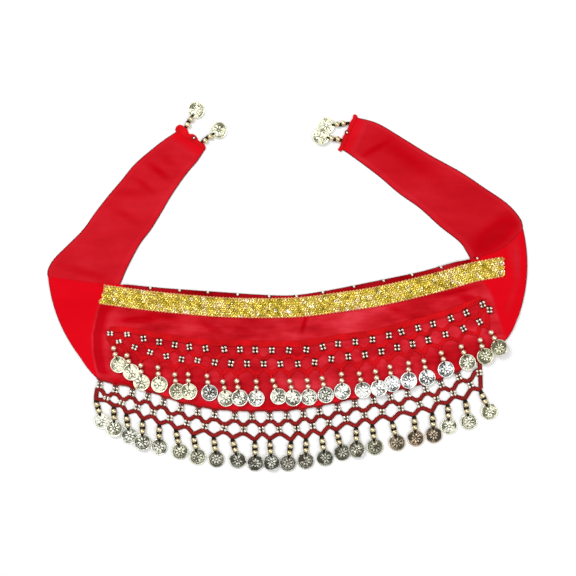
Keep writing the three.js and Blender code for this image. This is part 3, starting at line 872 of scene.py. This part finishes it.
# The columns of each net: where each starts, where its dangle's coin lies, and how far that dangle
# swings towards +X, in degrees.
UPPER_COLUMNS = table("x coin_x coin_y lean", [
    [-177.5, -168.9, -76.4, 17],
    [-160.5, -156.2, -84, 14],
    [-143.5, -146.2, -94.3, 2],
    [-128, -128.3, -96.3, 5],
    [-112.6, -110.4, -103.2, 9],
    [-98.3, -98.8, -103.4, 2],
    [-82.3, -78.3, -104.6, 9],
    [-63.5, -61.9, -110.2, 10],
    [-47.8, -48, -109.8, 10],
    [-32.7, -31.6, -110.2, 0],
    [-16.3, -9.4, -108.2, 20],
    [0.6, 5.1, -109.8, 11],
    [18, 20.9, -109, 6],
    [34.2, 37.8, -106.7, 12],
    [49.1, 54.2, -103.2, 3],
    [66.4, 74.8, -102, 13],
    [83.7, 90.6, -100.2, 12],
    [99.6, 103.9, -95.6, 8],
    [111.9, 120.3, -92.2, 1],
    [128.3, 138.8, -89.6, 11],
    [143, 157.6, -81.2, 16],
    [160.3, 179.1, -74.2, 22],
    [175.2, 196.6, -68.1, 18],
    [192, 210.3, -59.6, 28],
])
LOWER_COLUMNS = table("x coin_x coin_y lean", [
    [-187.5, -185.8, -132.9, 17],
    [-172.1, -173.3, -140.3, 2],
    [-154.9, -158.3, -147.6, 9],
    [-139.3, -145.3, -154, 0],
    [-123.6, -128.7, -158.7, 0],
    [-106.3, -107.9, -163.3, 11],
    [-89.5, -90.2, -168.7, 12],
    [-73, -71.6, -170.9, 7],
    [-53.2, -50.3, -172.2, 14],
    [-36.1, -32.7, -175, 1],
    [-18.5, -16.4, -174, 5],
    [-1.5, -0.2, -175.1, -9],
    [15.1, 17.6, -172.8, -1],
    [31.1, 37, -169.8, 9],
    [49.4, 54.4, -164.3, 16],
    [66.9, 68.4, -161.3, 1],
    [85.2, 86.8, -158.7, 7],
    [102, 109, -154.6, 14],
    [119, 127.6, -150.1, 4],
    [136.3, 145.6, -146.9, 4],
    [151.9, 160.7, -138.1, 3],
    [169.4, 180.7, -133.7, 10],
    [188.6, 201.1, -123.4, 23],
])


def upper_top(x):
    return curve_at(UPPER_LINE["x"], UPPER_LINE["y"], x)


def lower_top(x):
    return edge_y(x, 0) - 0.5


def level(height):
    """The height of what lies equally high everywhere, as the table does."""
    return lambda x, y: height


def net_plan(columns, line, top_y, heading):
    """at(column, aside, depth): a place aside of a column and so far down from the top line. Below
    its middle valleys the net is drawn to the feet that the dangles hang from."""
    xs = columns["x"]
    numbers = np.arange(len(xs))
    foot = LOW_VALLEY + CORD / 2

    def even(column, aside, depth):
        k = min(max(int(math.floor(column)), 0), len(xs) - 2)
        pitch = xs[k + 1] - xs[k]
        x = xs[k] + (column - k) * pitch + aside * pitch / PITCH
        down = (depth + heading) * curve_at(line["x"], line["deep"], x)
        return x + down * curve_at(line["x"], line["fan"], x), top_y(x) - down

    feet = np.array([even(k, 0, foot) for k in numbers])
    swing = np.radians(columns["lean"])
    pull_x = columns["coin_x"] - COIN_AT * np.sin(swing) - feet[:, 0]
    pull_y = columns["coin_y"] + COIN_AT * np.cos(swing) - feet[:, 1]

    def at(column, aside, depth):
        x, y = even(column, aside, depth)
        share = min(max((depth - MIDDLE_VALLEY) / (foot - MIDDLE_VALLEY), 0.0), 1.0)
        near = column + aside / PITCH
        return x + share * curve_at(numbers, pull_x, near), y + share * curve_at(numbers, pull_y, near)

    return at


upper_at = net_plan(UPPER_COLUMNS, UPPER_LINE, upper_top, HEADING)
lower_at = net_plan(LOWER_COLUMNS, LOWER_LINE, lower_top, 0)


def softened(line):
    """The line with its corners cut twice, as a cord takes them."""
    line = np.asarray(line, float)
    for _ in range(2):
        a, b = line[:-1], line[1:]
        cut = np.stack([a * 0.75 + b * 0.25, a * 0.25 + b * 0.75], axis=1).reshape(-1, line.shape[1])
        line = np.vstack([line[:1], cut[1:-1], line[-1:]])
    return line


def plait(line, width):
    """Three strands plaited flat along a line of places."""
    path = evenly(softened(line), PLAIT_STEP)
    side = np.cross(np.gradient(path, axis=0), [0.0, 0.0, 1.0])
    side /= np.linalg.norm(side, axis=1)[:, None]
    swing = 2 * np.pi * np.arange(len(path)) * PLAIT_STEP / PLAIT_TURN
    strands = []
    for k in range(3):
        phase = swing + k * 2 * np.pi / 3
        route = path + side * ((width / 2 - STRAND) * np.sin(phase))[:, None]
        route[:, 2] += 0.28 * np.sin(2 * phase)
        strands.append(tube(route, STRAND * (1 + 0.1 * np.sin(swing * 0.37 + k)), 6))
    return joined(strands)[:2]


def net_cords(at, last, floor, heading):
    """Centre lines of one net's cords, with heights."""
    lines = []
    for depth in (-heading * 0.72, 0.2) if heading else ():
        lines.append([at(c, 0, depth) for c in np.arange(0, last + 0.01, 0.5)])
    middle = [at(0, -3.2, MIDDLE_PEAK)]
    for c in range(last + 1):
        middle += [at(c, side * MIDDLE_PEAK_SIDE, MIDDLE_PEAK) for side in (-1, 1)]
        if c < last:
            middle += [at(c + 0.5, side * MIDDLE_VALLEY_SIDE, MIDDLE_VALLEY) for side in (-1, 1)]
    lines.append(middle)
    low = []
    for c in range(last + 1):
        if c > 0:
            low.append(at(c, -BEND_SIDE, BEND_DEPTH))
        low += [at(c, side * LOW_VALLEY_SIDE, LOW_VALLEY - 0.4) for side in (-1, 1)]
        if c < last:
            low.append(at(c, BEND_SIDE, BEND_DEPTH))
            low += [at(c + 0.5, side * LOW_PEAK_SIDE, LOW_PEAK) for side in (-1, 1)]
    lines.append(low)
    left_side, right_side = (
        [at(c, side * 2.4, MIDDLE_PEAK), at(c, side * 2.2, 17), at(c, side * 0.6, LOW_VALLEY - 1)]
        for c, side in ((0, -1), (last, 1))
    )
    lines += [left_side, [at(last, 2.4, 1)] + right_side]
    seated = NET_THICK / 2 - (0.6 if heading else 0)  # a sewn net sinks a little into the cloth
    return [[(x, y, floor(x, y) + seated) for x, y in evenly(line, 1.5)] for line in lines]


def crochet_finish(name, deep, bright):
    """Soft cotton cord, fuzzy and a little uneven in its dye."""
    material, tree, shader = new_finish(name)
    fibre = cloud(tree, object_place(tree), 1300.0, 4.0, 0.6)
    dye = cloud(tree, object_place(tree), 60.0, 2.0)
    colour = ramp(tree, fibre, [(0.25, deep), (0.75, bright)])
    shade = ramp(tree, dye, [(0.3, (0.8, 0.8, 0.8)), (0.7, (1.15, 1.1, 1.1))])
    dress(tree, shader, {
        "Base Color": blend_colours(tree, "MULTIPLY", 1.0, colour, shade),
        "Normal": bumps(tree, fibre, 0.7, 0.0004),
        "Roughness": 0.85,
        "Specular IOR Level": 0.08,
        "Sheen Weight": 0.1,
        "Sheen Tint": (1, 0.15, 0.12, 1),
    })
    return material


bright_crochet = crochet_finish("bright_red_crochet", (0.52, 0.003, 0.006), (0.80, 0.006, 0.012))
crochet = crochet_finish("red_crochet", (0.14, 0.007, 0.007), (0.46, 0.026, 0.021))

UPPER_LAST = len(UPPER_COLUMNS["x"]) - 1
LOWER_LAST = len(LOWER_COLUMNS["x"]) - 1
# Each net: its piece, its solid, its plan, its last column, what it lies on, its heading and its cord.
NETS = [
    ("upper_net_cord", "net_upper", upper_at, UPPER_LAST, sewn_on, HEADING, bright_crochet),
    ("lower_net_cord", "net_lower", lower_at, LOWER_LAST, level(0.3), 0, crochet),
]
cord_lines = {}
for name, solid, at, last, floor, heading, finish in NETS:
    cord_lines[name] = net_cords(at, last, floor, heading)
    cords = [plait(line, CORD + 1.2 if heading else CORD) for line in cord_lines[name]]
    net = joined_piece(name, cords, finish)
    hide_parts(solid)

# Thin dark red threads along both sides of the lower net's cords, a painted shade that outlines them.
parts = []
for line in cord_lines["lower_net_cord"]:
    path = evenly(softened(line), 0.9)
    side = np.cross(np.gradient(path, axis=0), [0.0, 0.0, 1.0])
    side /= np.linalg.norm(side, axis=1)[:, None]
    for aside in (-1, 1):
        parts.append(tube(path + side * aside * (CORD / 2 - 0.1) - (0, 0, 0.2), EDGE_THREAD))
joined_piece("lower_net_edge_shade", parts, edge_thread)

# A thinner cord whips the lower net on to the hem, and dips to each cluster of its first row.
hem_cord = []
for c in range(LOWER_LAST + 1):
    for aside, depth in ((-3.8, -0.9), (-1.3, 1.0), (1.3, 1.0), (3.8, -0.9)):
        height = CLOTH + GAP + 0.5 if depth < 0 else NET_THICK / 2 + 0.3
        hem_cord.append((*lower_at(c, aside, depth), height))
joined_piece("lower_net_hem_cord", [plait(evenly(hem_cord, 1.5), 2.3)], crochet)

# ---------------------------------------------------------------------------------------------
# Bead clusters: four small silver beads on two dark threads, square across each cell wall.
CLUSTER_STEP = 1.68
CLUSTER_THREAD = 0.55
HALF_SPAN = 4.2
ASKEW = 0.22
LOOSE = 0.12
dark_thread = spun_finish("dark_thread", (0.006, 0.004, 0.003), (0.03, 0.018, 0.009),
                          1500.0, (0.5, 0.0003), 0.75, 0.1)
brown_thread = spun_finish("brown_thread", (0.05, 0.016, 0.007), (0.2, 0.07, 0.03),
                           1500.0, (0.5, 0.0003), 0.75, 0.1)
# Each net: its beads' size, how far out the threads run beside them, the first row's depth and last
# column, and where one more cluster is sewn on past the net's end.
CLUSTER_NETS = [
    ("upper", upper_at, UPPER_LAST, sewn_on,
     1.54, 0.9, CLUSTER_ONE, UPPER_LAST, (200.8, -21.8)),
    ("lower", lower_at, LOWER_LAST, level(0.05),
     1.58, 1.2, CLUSTER_ONE + 0.8, LOWER_LAST - 1, (190.7, -84.5)),
]
thread_parts = []
for name, at, last, floor, big, beside, first_row, first_last, (extra_x, extra_y) in CLUSTER_NETS:
    places = [(c, first_row) for c in range(first_last + 1)]
    places += [(c + 0.5, CLUSTER_TWO) for c in range(last)]
    spans = [(at(c, 0, depth - HALF_SPAN), at(c, 0, depth + HALF_SPAN)) for c, depth in places]
    spans.append(((extra_x - 0.5, extra_y + 4.0), (extra_x + 0.5, extra_y - 4.0)))
    parts = []
    for above, below in np.array(spans):
        middle = (above + below) / 2
        long = np.linalg.norm(below - above)
        down = (below - above) / long
        across = np.array([-down[1], down[0]])
        z = floor(*middle) + big
        low_z = floor(*middle) + 0.7
        thread_parts.append(tube([(*above, low_z), (*below, low_z)], 0.6))
        askew = hand.uniform(-ASKEW, ASKEW)
        down = down * math.cos(askew) + across * math.sin(askew)
        across = np.array([-down[1], down[0]])
        squeeze = min(1.0, long / (2 * HALF_SPAN) + 0.12)
        for i in (-1, 1):
            rise = across * i * CLUSTER_STEP * 1.02
            aside = across * i * CLUSTER_STEP * beside
            line = [(*(spot + aside), z) for spot in (above, middle, below)]
            thread_parts.append(tube(line, CLUSTER_THREAD))
            for j in (-1, 1):
                loose = np.array([hand.uniform(-LOOSE, LOOSE), hand.uniform(-LOOSE, LOOSE)])
                spot = middle + rise + down * j * CLUSTER_STEP * squeeze + loose
                parts.append(bead(small_ball, big * hand.uniform(0.95, 1.03), (*spot, z + 0.25)))
    joined_piece(name + "_cluster_beads", parts, silver_bead)
joined_piece("cluster_threads", thread_parts + hem_loops, dark_thread)

# ---------------------------------------------------------------------------------------------
# Dangles: each hangs from a valley of a net, or from an edging, on dark or brown thread, with two gold
# beads and a stamped coin. The coins lie on the table or the cloth, a crowded one on its neighbour.
GOLD_BEAD = (2.75, 2.5, 2.35)  # flattened a little along its hole and towards the table
BEAD_AT = 4.7
BEAD_STEP = 6.4
COIN_RADIUS = 8.25
COIN_THICK = 1.0
COIN_TILT = 0.105
PROPPED = 0.095
DANGLE_REST = 2.0
DANGLE_THREAD = 0.75
STRAND_HIGH = 2.1
# How far aside of its middle the threads of a dangle lie, and how high its knot is.
UPPER_THREADS, UPPER_KNOT = (-0.6, 0.6), -1.0
LOWER_THREADS, LOWER_KNOT = (-2.4, -0.9, 0.9, 2.4), 0.8
STRAP_THREADS, STRAP_KNOT = (-0.4, 1.4, 2.6), 0.8
# A thread's way from its knot to the coin: its share of the distance aside, how far down it has come,
# and how far above the middle height of the strand it runs.
THREAD_WAY = [
    (0.6, 1.6, -0.9),
    (1.0, BEAD_AT, -0.6),
    (0.8, BEAD_AT + BEAD_STEP / 2, -0.3),
    (0.9, BEAD_AT + BEAD_STEP, -0.5),
    (0.5, 13.8, 0.0),
    (0.25, 15.4, 0.35),
    (0.15, 16.4, 0.1),
]
STRAP_DANGLES = table("x y lean propped", [
    [-102.5, 158.8, 150, 0],
    [-86.6, 144.5, 127, 0],
    [60, 165.2, 278, 0],
    [54.3, 148.2, 262, 1],
])
# How old the coins look along each net (0 is bright silver, 0.5 dulled, 1 bronze), and how warm, which
# is how yellow their silver looks.
UPPER_AGE = table("x age warm", [
    [-180, 0.03, 1],
    [-90, 0.03, 1],
    [-78, 0.16, 0.1],
    [-66, 0.03, 0.8],
    [-40, 0.08, 0.3],
    [-20, 0.06, 0.3],
    [-9, 0, 0.6],
    [6, 0.04, 0.5],
    [100, 0.04, 0.1],
    [165, 0.06, 0.1],
    [178, 0.02, 0.8],
    [198, 0.22, 1],
    [212, 0.4, 1],
])
LOWER_AGE = table("x age warm", [
    [-190, 0, 0.6],
    [-172, 0, 0.7],
    [-158, 0.18, 0.4],
    [-130, 0.2, 0.5],
    [-100, 0.24, 0.8],
    [-60, 0.36, 0.3],
    [-20, 0.48, 0.1],
    [60, 0.52, 0.3],
    [90, 0.54, 0.7],
    [105, 0.78, 0.6],
    [150, 0.84, 0.6],
    [157, 0.12, 0.7],
    [175, 0.26, 0.5],
    [190, 0.16, 0.9],
    [205, 0.16, 0.9],
])
COIN_SIDES = 96
COIN_RINGS = [0.001, 0.06, 0.11, 0.15, 0.2, 0.26, 0.32, 0.38, 0.44, 0.5, 0.56, 0.6,
              0.64, 0.68, 0.72, 0.77, 0.81, 0.85, 0.89, 0.93, 0.96, 0.985, 1.0]
BACK_RINGS = [1.0, 0.985, 0.9, 0.001]
BACK_HEIGHTS = [-0.25, -0.5, -0.5, -0.42]
RELIEF = 0.3
coin_faces = ring_faces(len(COIN_RINGS + BACK_RINGS), COIN_SIDES)


def coin_rings(radii):
    """Radius as a share, turn and plan of every point on a coin's rings."""
    r = np.repeat(radii, COIN_SIDES)
    turn = np.tile(np.arange(COIN_SIDES) * 2 * np.pi / COIN_SIDES, len(radii))
    return r, turn, r * np.cos(turn) * COIN_RADIUS, r * np.sin(turn) * COIN_RADIUS


def coin_relief(r, turn, spin):
    """Stamped height, 0 to 1: a rim, a ring of dots, a line and an eight-petalled rosette."""
    dots = np.clip(1 - ((r - 0.83) / 0.065) ** 2, 0, 1) * np.clip(np.cos(24 * turn), 0, 1)
    line = np.clip(1 - ((r - 0.68) / 0.035) ** 2, 0, 1) * 0.8
    rim = np.clip((r - 0.905) / 0.03, 0, 1) * np.clip((1.02 - r) / 0.04, 0, 1)
    petal = np.mod((turn + spin) * 8 / (2 * np.pi), 1) * 2 - 1
    width = np.sin(np.pi * np.clip((r - 0.14) / 0.48, 0.001, 0.999))
    rosette = np.sqrt(np.clip(1 - (petal / width / 0.8) ** 2, 0, 1))
    boss = np.clip(1 - (r / 0.13) ** 2, 0, 1)
    return np.max([dots, line, rim, rosette * 0.9, boss], axis=0)


def coin_mesh(spin, age, warm):
    r, turn, x, y = coin_rings(COIN_RINGS)
    relief = coin_relief(r, turn, spin)
    top = np.column_stack([x, y, COIN_THICK / 2 - RELIEF + RELIEF * relief])
    x, y = coin_rings(BACK_RINGS)[2:]
    under = np.column_stack([x, y, np.repeat(BACK_HEIGHTS, COIN_SIDES) * COIN_THICK])
    marks = {"relief": np.r_[relief, np.full(len(under), 0.8)], "age": age, "warm": warm}
    return np.vstack([top, under]), coin_faces, marks


coin_metal, tree, shader = new_finish("coin_metal")
age, relief, warm = (attribute(tree, name) for name in ("age", "relief", "warm"))
silver = ramp(tree, age, [
    (0.0, (1.0, 1.0, 1.0)),
    (0.25, (0.86, 0.86, 0.8)),
    (0.5, (0.52, 0.51, 0.45)),
    (1.0, (0.72, 0.48, 0.36)),
])
yellowed = ramp(tree, warm, [(0.0, (0.97, 1, 1)), (1.0, (1, 0.99, 0.76))])
metal = blend_colours(tree, "MULTIPLY", 1.0, silver, yellowed)

# Wear: the relief is rubbed bright, and dirt stays in what is low, more of it as the coin ages.
rub = cloud(tree, object_place(tree), 420.0, 4.0, 0.65)
patch = cloud(tree, object_place(tree), 130.0, 2.0, 0.5)
tarnish = ranged(tree, patch, 0.46, 0.68, high=0.8)
youth = ranged(tree, age, end=0.35, low=0.34, high=0.0)
worn = maths(tree, "ADD", relief, maths(tree, "MULTIPLY_ADD", rub, 1.5, -0.75))
worn = maths(tree, "SUBTRACT", maths(tree, "ADD", worn, youth), tarnish)
dirt = ramp(tree, age, [(0.0, (0.035, 0.037, 0.035)), (0.5, (0.045, 0.038, 0.026))])
low_contrast = maths(tree, "MULTIPLY", warm, maths(tree, "MULTIPLY_ADD", age, -0.9, 0.75))
dirt = blend_colours(tree, "MIX", low_contrast, dirt, (0.2, 0.19, 0.1, 1))
mask = ranged(tree, worn, 0.12, 0.42)
dress(tree, shader, {
    "Base Color": blend_colours(tree, "MIX", mask, dirt, metal),
    "Normal": bumps(tree, rub, 0.25, 0.0003),
    "Roughness": ranged(tree, mask, low=0.5, high=0.24),
    "Metallic": 0.75,
})

gold_bead = metal_finish("gold_bead", (0.97, 0.84, 0.55), (0.66, 0.53, 0.28), 0.2, 350.0)
rosy_bead = metal_finish("rosy_gold_bead", (1.0, 0.86, 0.68), (0.92, 0.68, 0.47), 0.28, 350.0)
large_ball = ball(18, 12)
coin_low = COIN_RADIUS * math.sin(COIN_TILT) + COIN_THICK / 2 * math.cos(COIN_TILT)
lying = np.array(Matrix.Rotation(COIN_TILT, 3, "X"))
rosy_parts, gold_parts, dangle_threads, brown_threads, cord_ties = [], [], [], [], []


def hang_dangle(root, lean, rest, propped, looks, threads_aside, knot):
    """One dangle in place: its coin's mesh is returned, its beads and threads are collected. With its
    knot below the strand it is tied on to the upper net with cord, and has rosy beads."""
    swung = Matrix.Rotation(math.radians(lean), 3, "Z")
    raised = Matrix.Rotation(-PROPPED if propped else 0, 3, "X")
    turn = np.array(swung @ raised)
    origin = np.array([*root, rest])
    tied = knot < 0

    def placed(points):
        return np.asarray(points, float) @ turn.T + origin

    points, faces, marks = coin_mesh(hand.uniform(0, 1), *looks)
    points = points @ lying.T + (0, -COIN_AT, coin_low)
    for k in (0, 1):
        size = np.array(GOLD_BEAD) * hand.uniform(1.0, 1.07)
        spot = (hand.uniform(-0.2, 0.2), -BEAD_AT - k * BEAD_STEP, STRAND_HIGH + 0.38)
        large = bead(large_ball, size, spot)
        (rosy_parts if tied else gold_parts).append((placed(large[0]), large[1]))
    if tied:
        tie = [(0, 1.6, -0.4), (0, -0.6, STRAND_HIGH - 1.2), (0, -BEAD_AT + 1.6, STRAND_HIGH)]
        cord_ties.append(tube(placed(evenly(tie, 0.8)), (1.5, 1.4, 1.3, 1.25, 1.2, 1.1, 1.0), 6))
    for aside in threads_aside:
        way = [(aside * share, -down, STRAND_HIGH + above) for share, down, above in THREAD_WAY]
        route = softened([(aside * 0.35, 1.4, knot), *way])
        thread = tube(placed(evenly(route, 0.9)), DANGLE_THREAD)
        (brown_threads if tied else dangle_threads).append(thread)
    return placed(points), faces, marks


def hang_row(at, columns, rest_at, ages, threads_aside, knot):
    """A row of dangles: a coin that would share its neighbour's place is propped on it."""
    coins, before, was_propped = [], None, False
    for column, lean in enumerate(columns["lean"]):
        root = at(column, 0, LOW_VALLEY + CORD / 2)
        coin = np.array([columns["coin_x"][column], columns["coin_y"][column]])
        crowded = before is not None and np.linalg.norm(coin - before) < 2 * COIN_RADIUS + 0.5
        propped = crowded and not was_propped
        age = float(np.interp(coin[0], ages["x"], ages["age"])) + hand.uniform(-0.06, 0.06)
        looks = (max(age, 0), float(np.interp(coin[0], ages["x"], ages["warm"])))
        coins.append(hang_dangle(root, lean, rest_at(*root), propped, looks, threads_aside, knot))
        before, was_propped = coin, propped
    return coins


def upper_rest(x, y):
    return DANGLE_REST + lift_at(x, y)


upper_coins = hang_row(upper_at, UPPER_COLUMNS, upper_rest, UPPER_AGE, UPPER_THREADS, UPPER_KNOT)
lower_coins = hang_row(lower_at, LOWER_COLUMNS, level(0.0), LOWER_AGE, LOWER_THREADS, LOWER_KNOT)
strap_coins = [
    hang_dangle((x, y), lean, 0.0, propped > 0, (0.1, 1), STRAP_THREADS, STRAP_KNOT)
    for x, y, lean, propped in zip(*STRAP_DANGLES.values())
]
COIN_NODES = {
    "upper_coins": [f"coin_upper_{k + 1:02d}" for k in range(UPPER_LAST + 1)],
    "lower_coins": [f"coin_lower_{k + 1:02d}" for k in range(LOWER_LAST + 1)],
    "strap_coins": ["coin_left_1", "coin_left_2", "coin_right_1", "coin_right_2"],
}
for name, coins in zip(COIN_NODES, (upper_coins, lower_coins, strap_coins)):
    piece = joined_piece(name, coins, coin_metal)
    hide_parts(*COIN_NODES[name])
joined_piece("upper_gold_beads", rosy_parts, rosy_bead)
joined_piece("lower_gold_beads", gold_parts, gold_bead)
joined_piece("dangle_threads", dangle_threads, dark_thread)
joined_piece("upper_dangle_threads", brown_threads, brown_thread)
joined_piece("dangle_ties", cord_ties, bright_crochet)

# ---------------------------------------------------------------------------------------------
# Edgings: a few rows of the same red crochet worked on to each strap's cut end, with picot lobes.
# Each edging's outline: how far along the cut end from its outer corner, and how far out from it.
EDGING_LEFT = [
    [0, 0.3],
    [-1.8, 2.4],
    [-2.4, 5],
    [-0.6, 6.6],
    [3.6, 6.7],
    [7, 6.4],
    [8.6, 4.4],
    [11.6, 3],
    [14, 4.8],
    [17, 5.6],
    [20, 4],
    [22.6, 2.4],
    [26.4, 3],
    [30, 2.6],
    [32, 0.3],
]
EDGING_RIGHT = [
    [0.8, 0.3],
    [-1.6, 1.4],
    [-2, 2.4],
    [-0.8, 2.5],
    [1.6, 1.6],
    [6, 2.6],
    [10, 2.4],
    [14, 2.1],
    [18, 2.4],
    [22, 3.1],
    [25, 3.1],
    [28, 2.7],
    [31, 2],
    [34, 1.8],
    [36.2, 2.9],
    [36.8, 2.1],
    [33.4, 0.3],
]
EDGINGS = [
    ("left_end_crochet", "edging_left", EDGING_LEFT, STRAP_LEFT, -1),
    ("right_end_crochet", "edging_right", EDGING_RIGHT, STRAP_RIGHT, 1),
]
height = NET_THICK / 2 + 0.3
picot_threads = []
for name, solid, outline, rows, outward in EDGINGS:
    start = np.array([rows["outer_x"][0], rows["outer_y"][0]])
    end = np.array([rows["inner_x"][0], rows["inner_y"][0]])
    cut_end = np.linalg.norm(end - start)
    along = (end - start) / cut_end
    out = np.array([outward * along[1], -outward * along[0]])
    rim = [(*(start + along * a + out * o), height) for a, o in outline]
    base = [(*(start + along * a + out * 0.4), height + 0.35) for a in np.linspace(0, cut_end, 20)]
    cords = [plait(rim, 2.4), plait(base, 2.8)]
    for inward in (0.25, 0.5, 0.75):
        filling = [(*(start + along * a + out * max(o * inward, 0.2)), height) for a, o in outline]
        cords.append(plait(filling, 2.8))
    edging = joined_piece(name, cords, bright_crochet)
    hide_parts(solid)
    picot_threads.append(tube(evenly(softened(rim), 0.9) + (0, 0, 0.1), FINE_THREAD))

# A small bead sits in a picot loop of each edging.
PICOT_LOOP = 1.9
beads, loops = [], []
for x, y in ((-93.9, 149.9), (58.9, 155.3)):
    beads.append(bead(small_ball, 1.25, (x, y, 1.9)))
    turns = np.linspace(0, 2 * math.pi, 14)
    ring = [(x + PICOT_LOOP * math.cos(turn), y + PICOT_LOOP * math.sin(turn), 1.6) for turn in turns]
    loops.append(tube(ring, EDGE_THREAD))
joined_piece("end_beads", beads, silver_bead)
joined_piece("end_loops", loops + picot_threads, edge_thread)

# ---------------------------------------------------------------------------------------------
# Table top, light and background: a plain white table under soft studio light from all round.
TABLE_HALF = 3
TABLE_DROP = 0.0002  # keeps the table's face clear of the cloth's
table_finish, tree, shader = new_finish("white_table")
speck = cloud(tree, object_place(tree), 30.0, 2.0)
dress(tree, shader, {
    "Base Color": ramp(tree, speck, [(0.0, (0.93, 0.93, 0.93)), (1.0, (0.95, 0.95, 0.95))]),
    "Roughness": 0.9,
    "Specular IOR Level": 0.0,
})
corners = [(x * TABLE_HALF, y * TABLE_HALF, 0) for x, y in ((-1, -1), (1, -1), (1, 1), (-1, 1))]
top_mesh = bpy.data.meshes.new("table_top")
top_mesh.from_pydata(corners, [], [(0, 1, 2, 3)])
top_mesh.materials.append(table_finish)
table_top = added("table_top", top_mesh)
table_top.location.z = -TABLE_DROP


def softbox(name, place, size, power):
    light = bpy.data.lights.new(name, "AREA")
    light.shape = "DISK"
    light.size = size
    light.energy = power
    lamp = added(name, light)
    lamp.location = place
    lamp.rotation_euler = (-Vector(place)).to_track_quat("-Z", "Y").to_euler()


softbox("key_light", (-0.9, 0.9, 1.5), 0.7, 16)
softbox("fill_light", (1.2, -0.5, 1.3), 0.6, 6)

world = bpy.data.worlds.new("studio")
bpy.context.scene.world = world
world.use_nodes = True
tree = world.node_tree
direction = node(tree, "ShaderNodeTexCoord").outputs["Generated"]
high = node(tree, "ShaderNodeSeparateXYZ", {"Vector": direction}).outputs["Z"]
sky = ramp(tree, high, [
    (0.0, (0.75, 0.75, 0.75)),
    (0.35, (0.28, 0.28, 0.29)),
    (0.72, (0.75, 0.75, 0.76)),
    (0.93, (1.5, 1.5, 1.5)),
])
dress(tree, tree.nodes["Background"], {"Color": sky, "Strength": 0.8})
bpy.context.scene.view_settings.view_transform = "Standard"
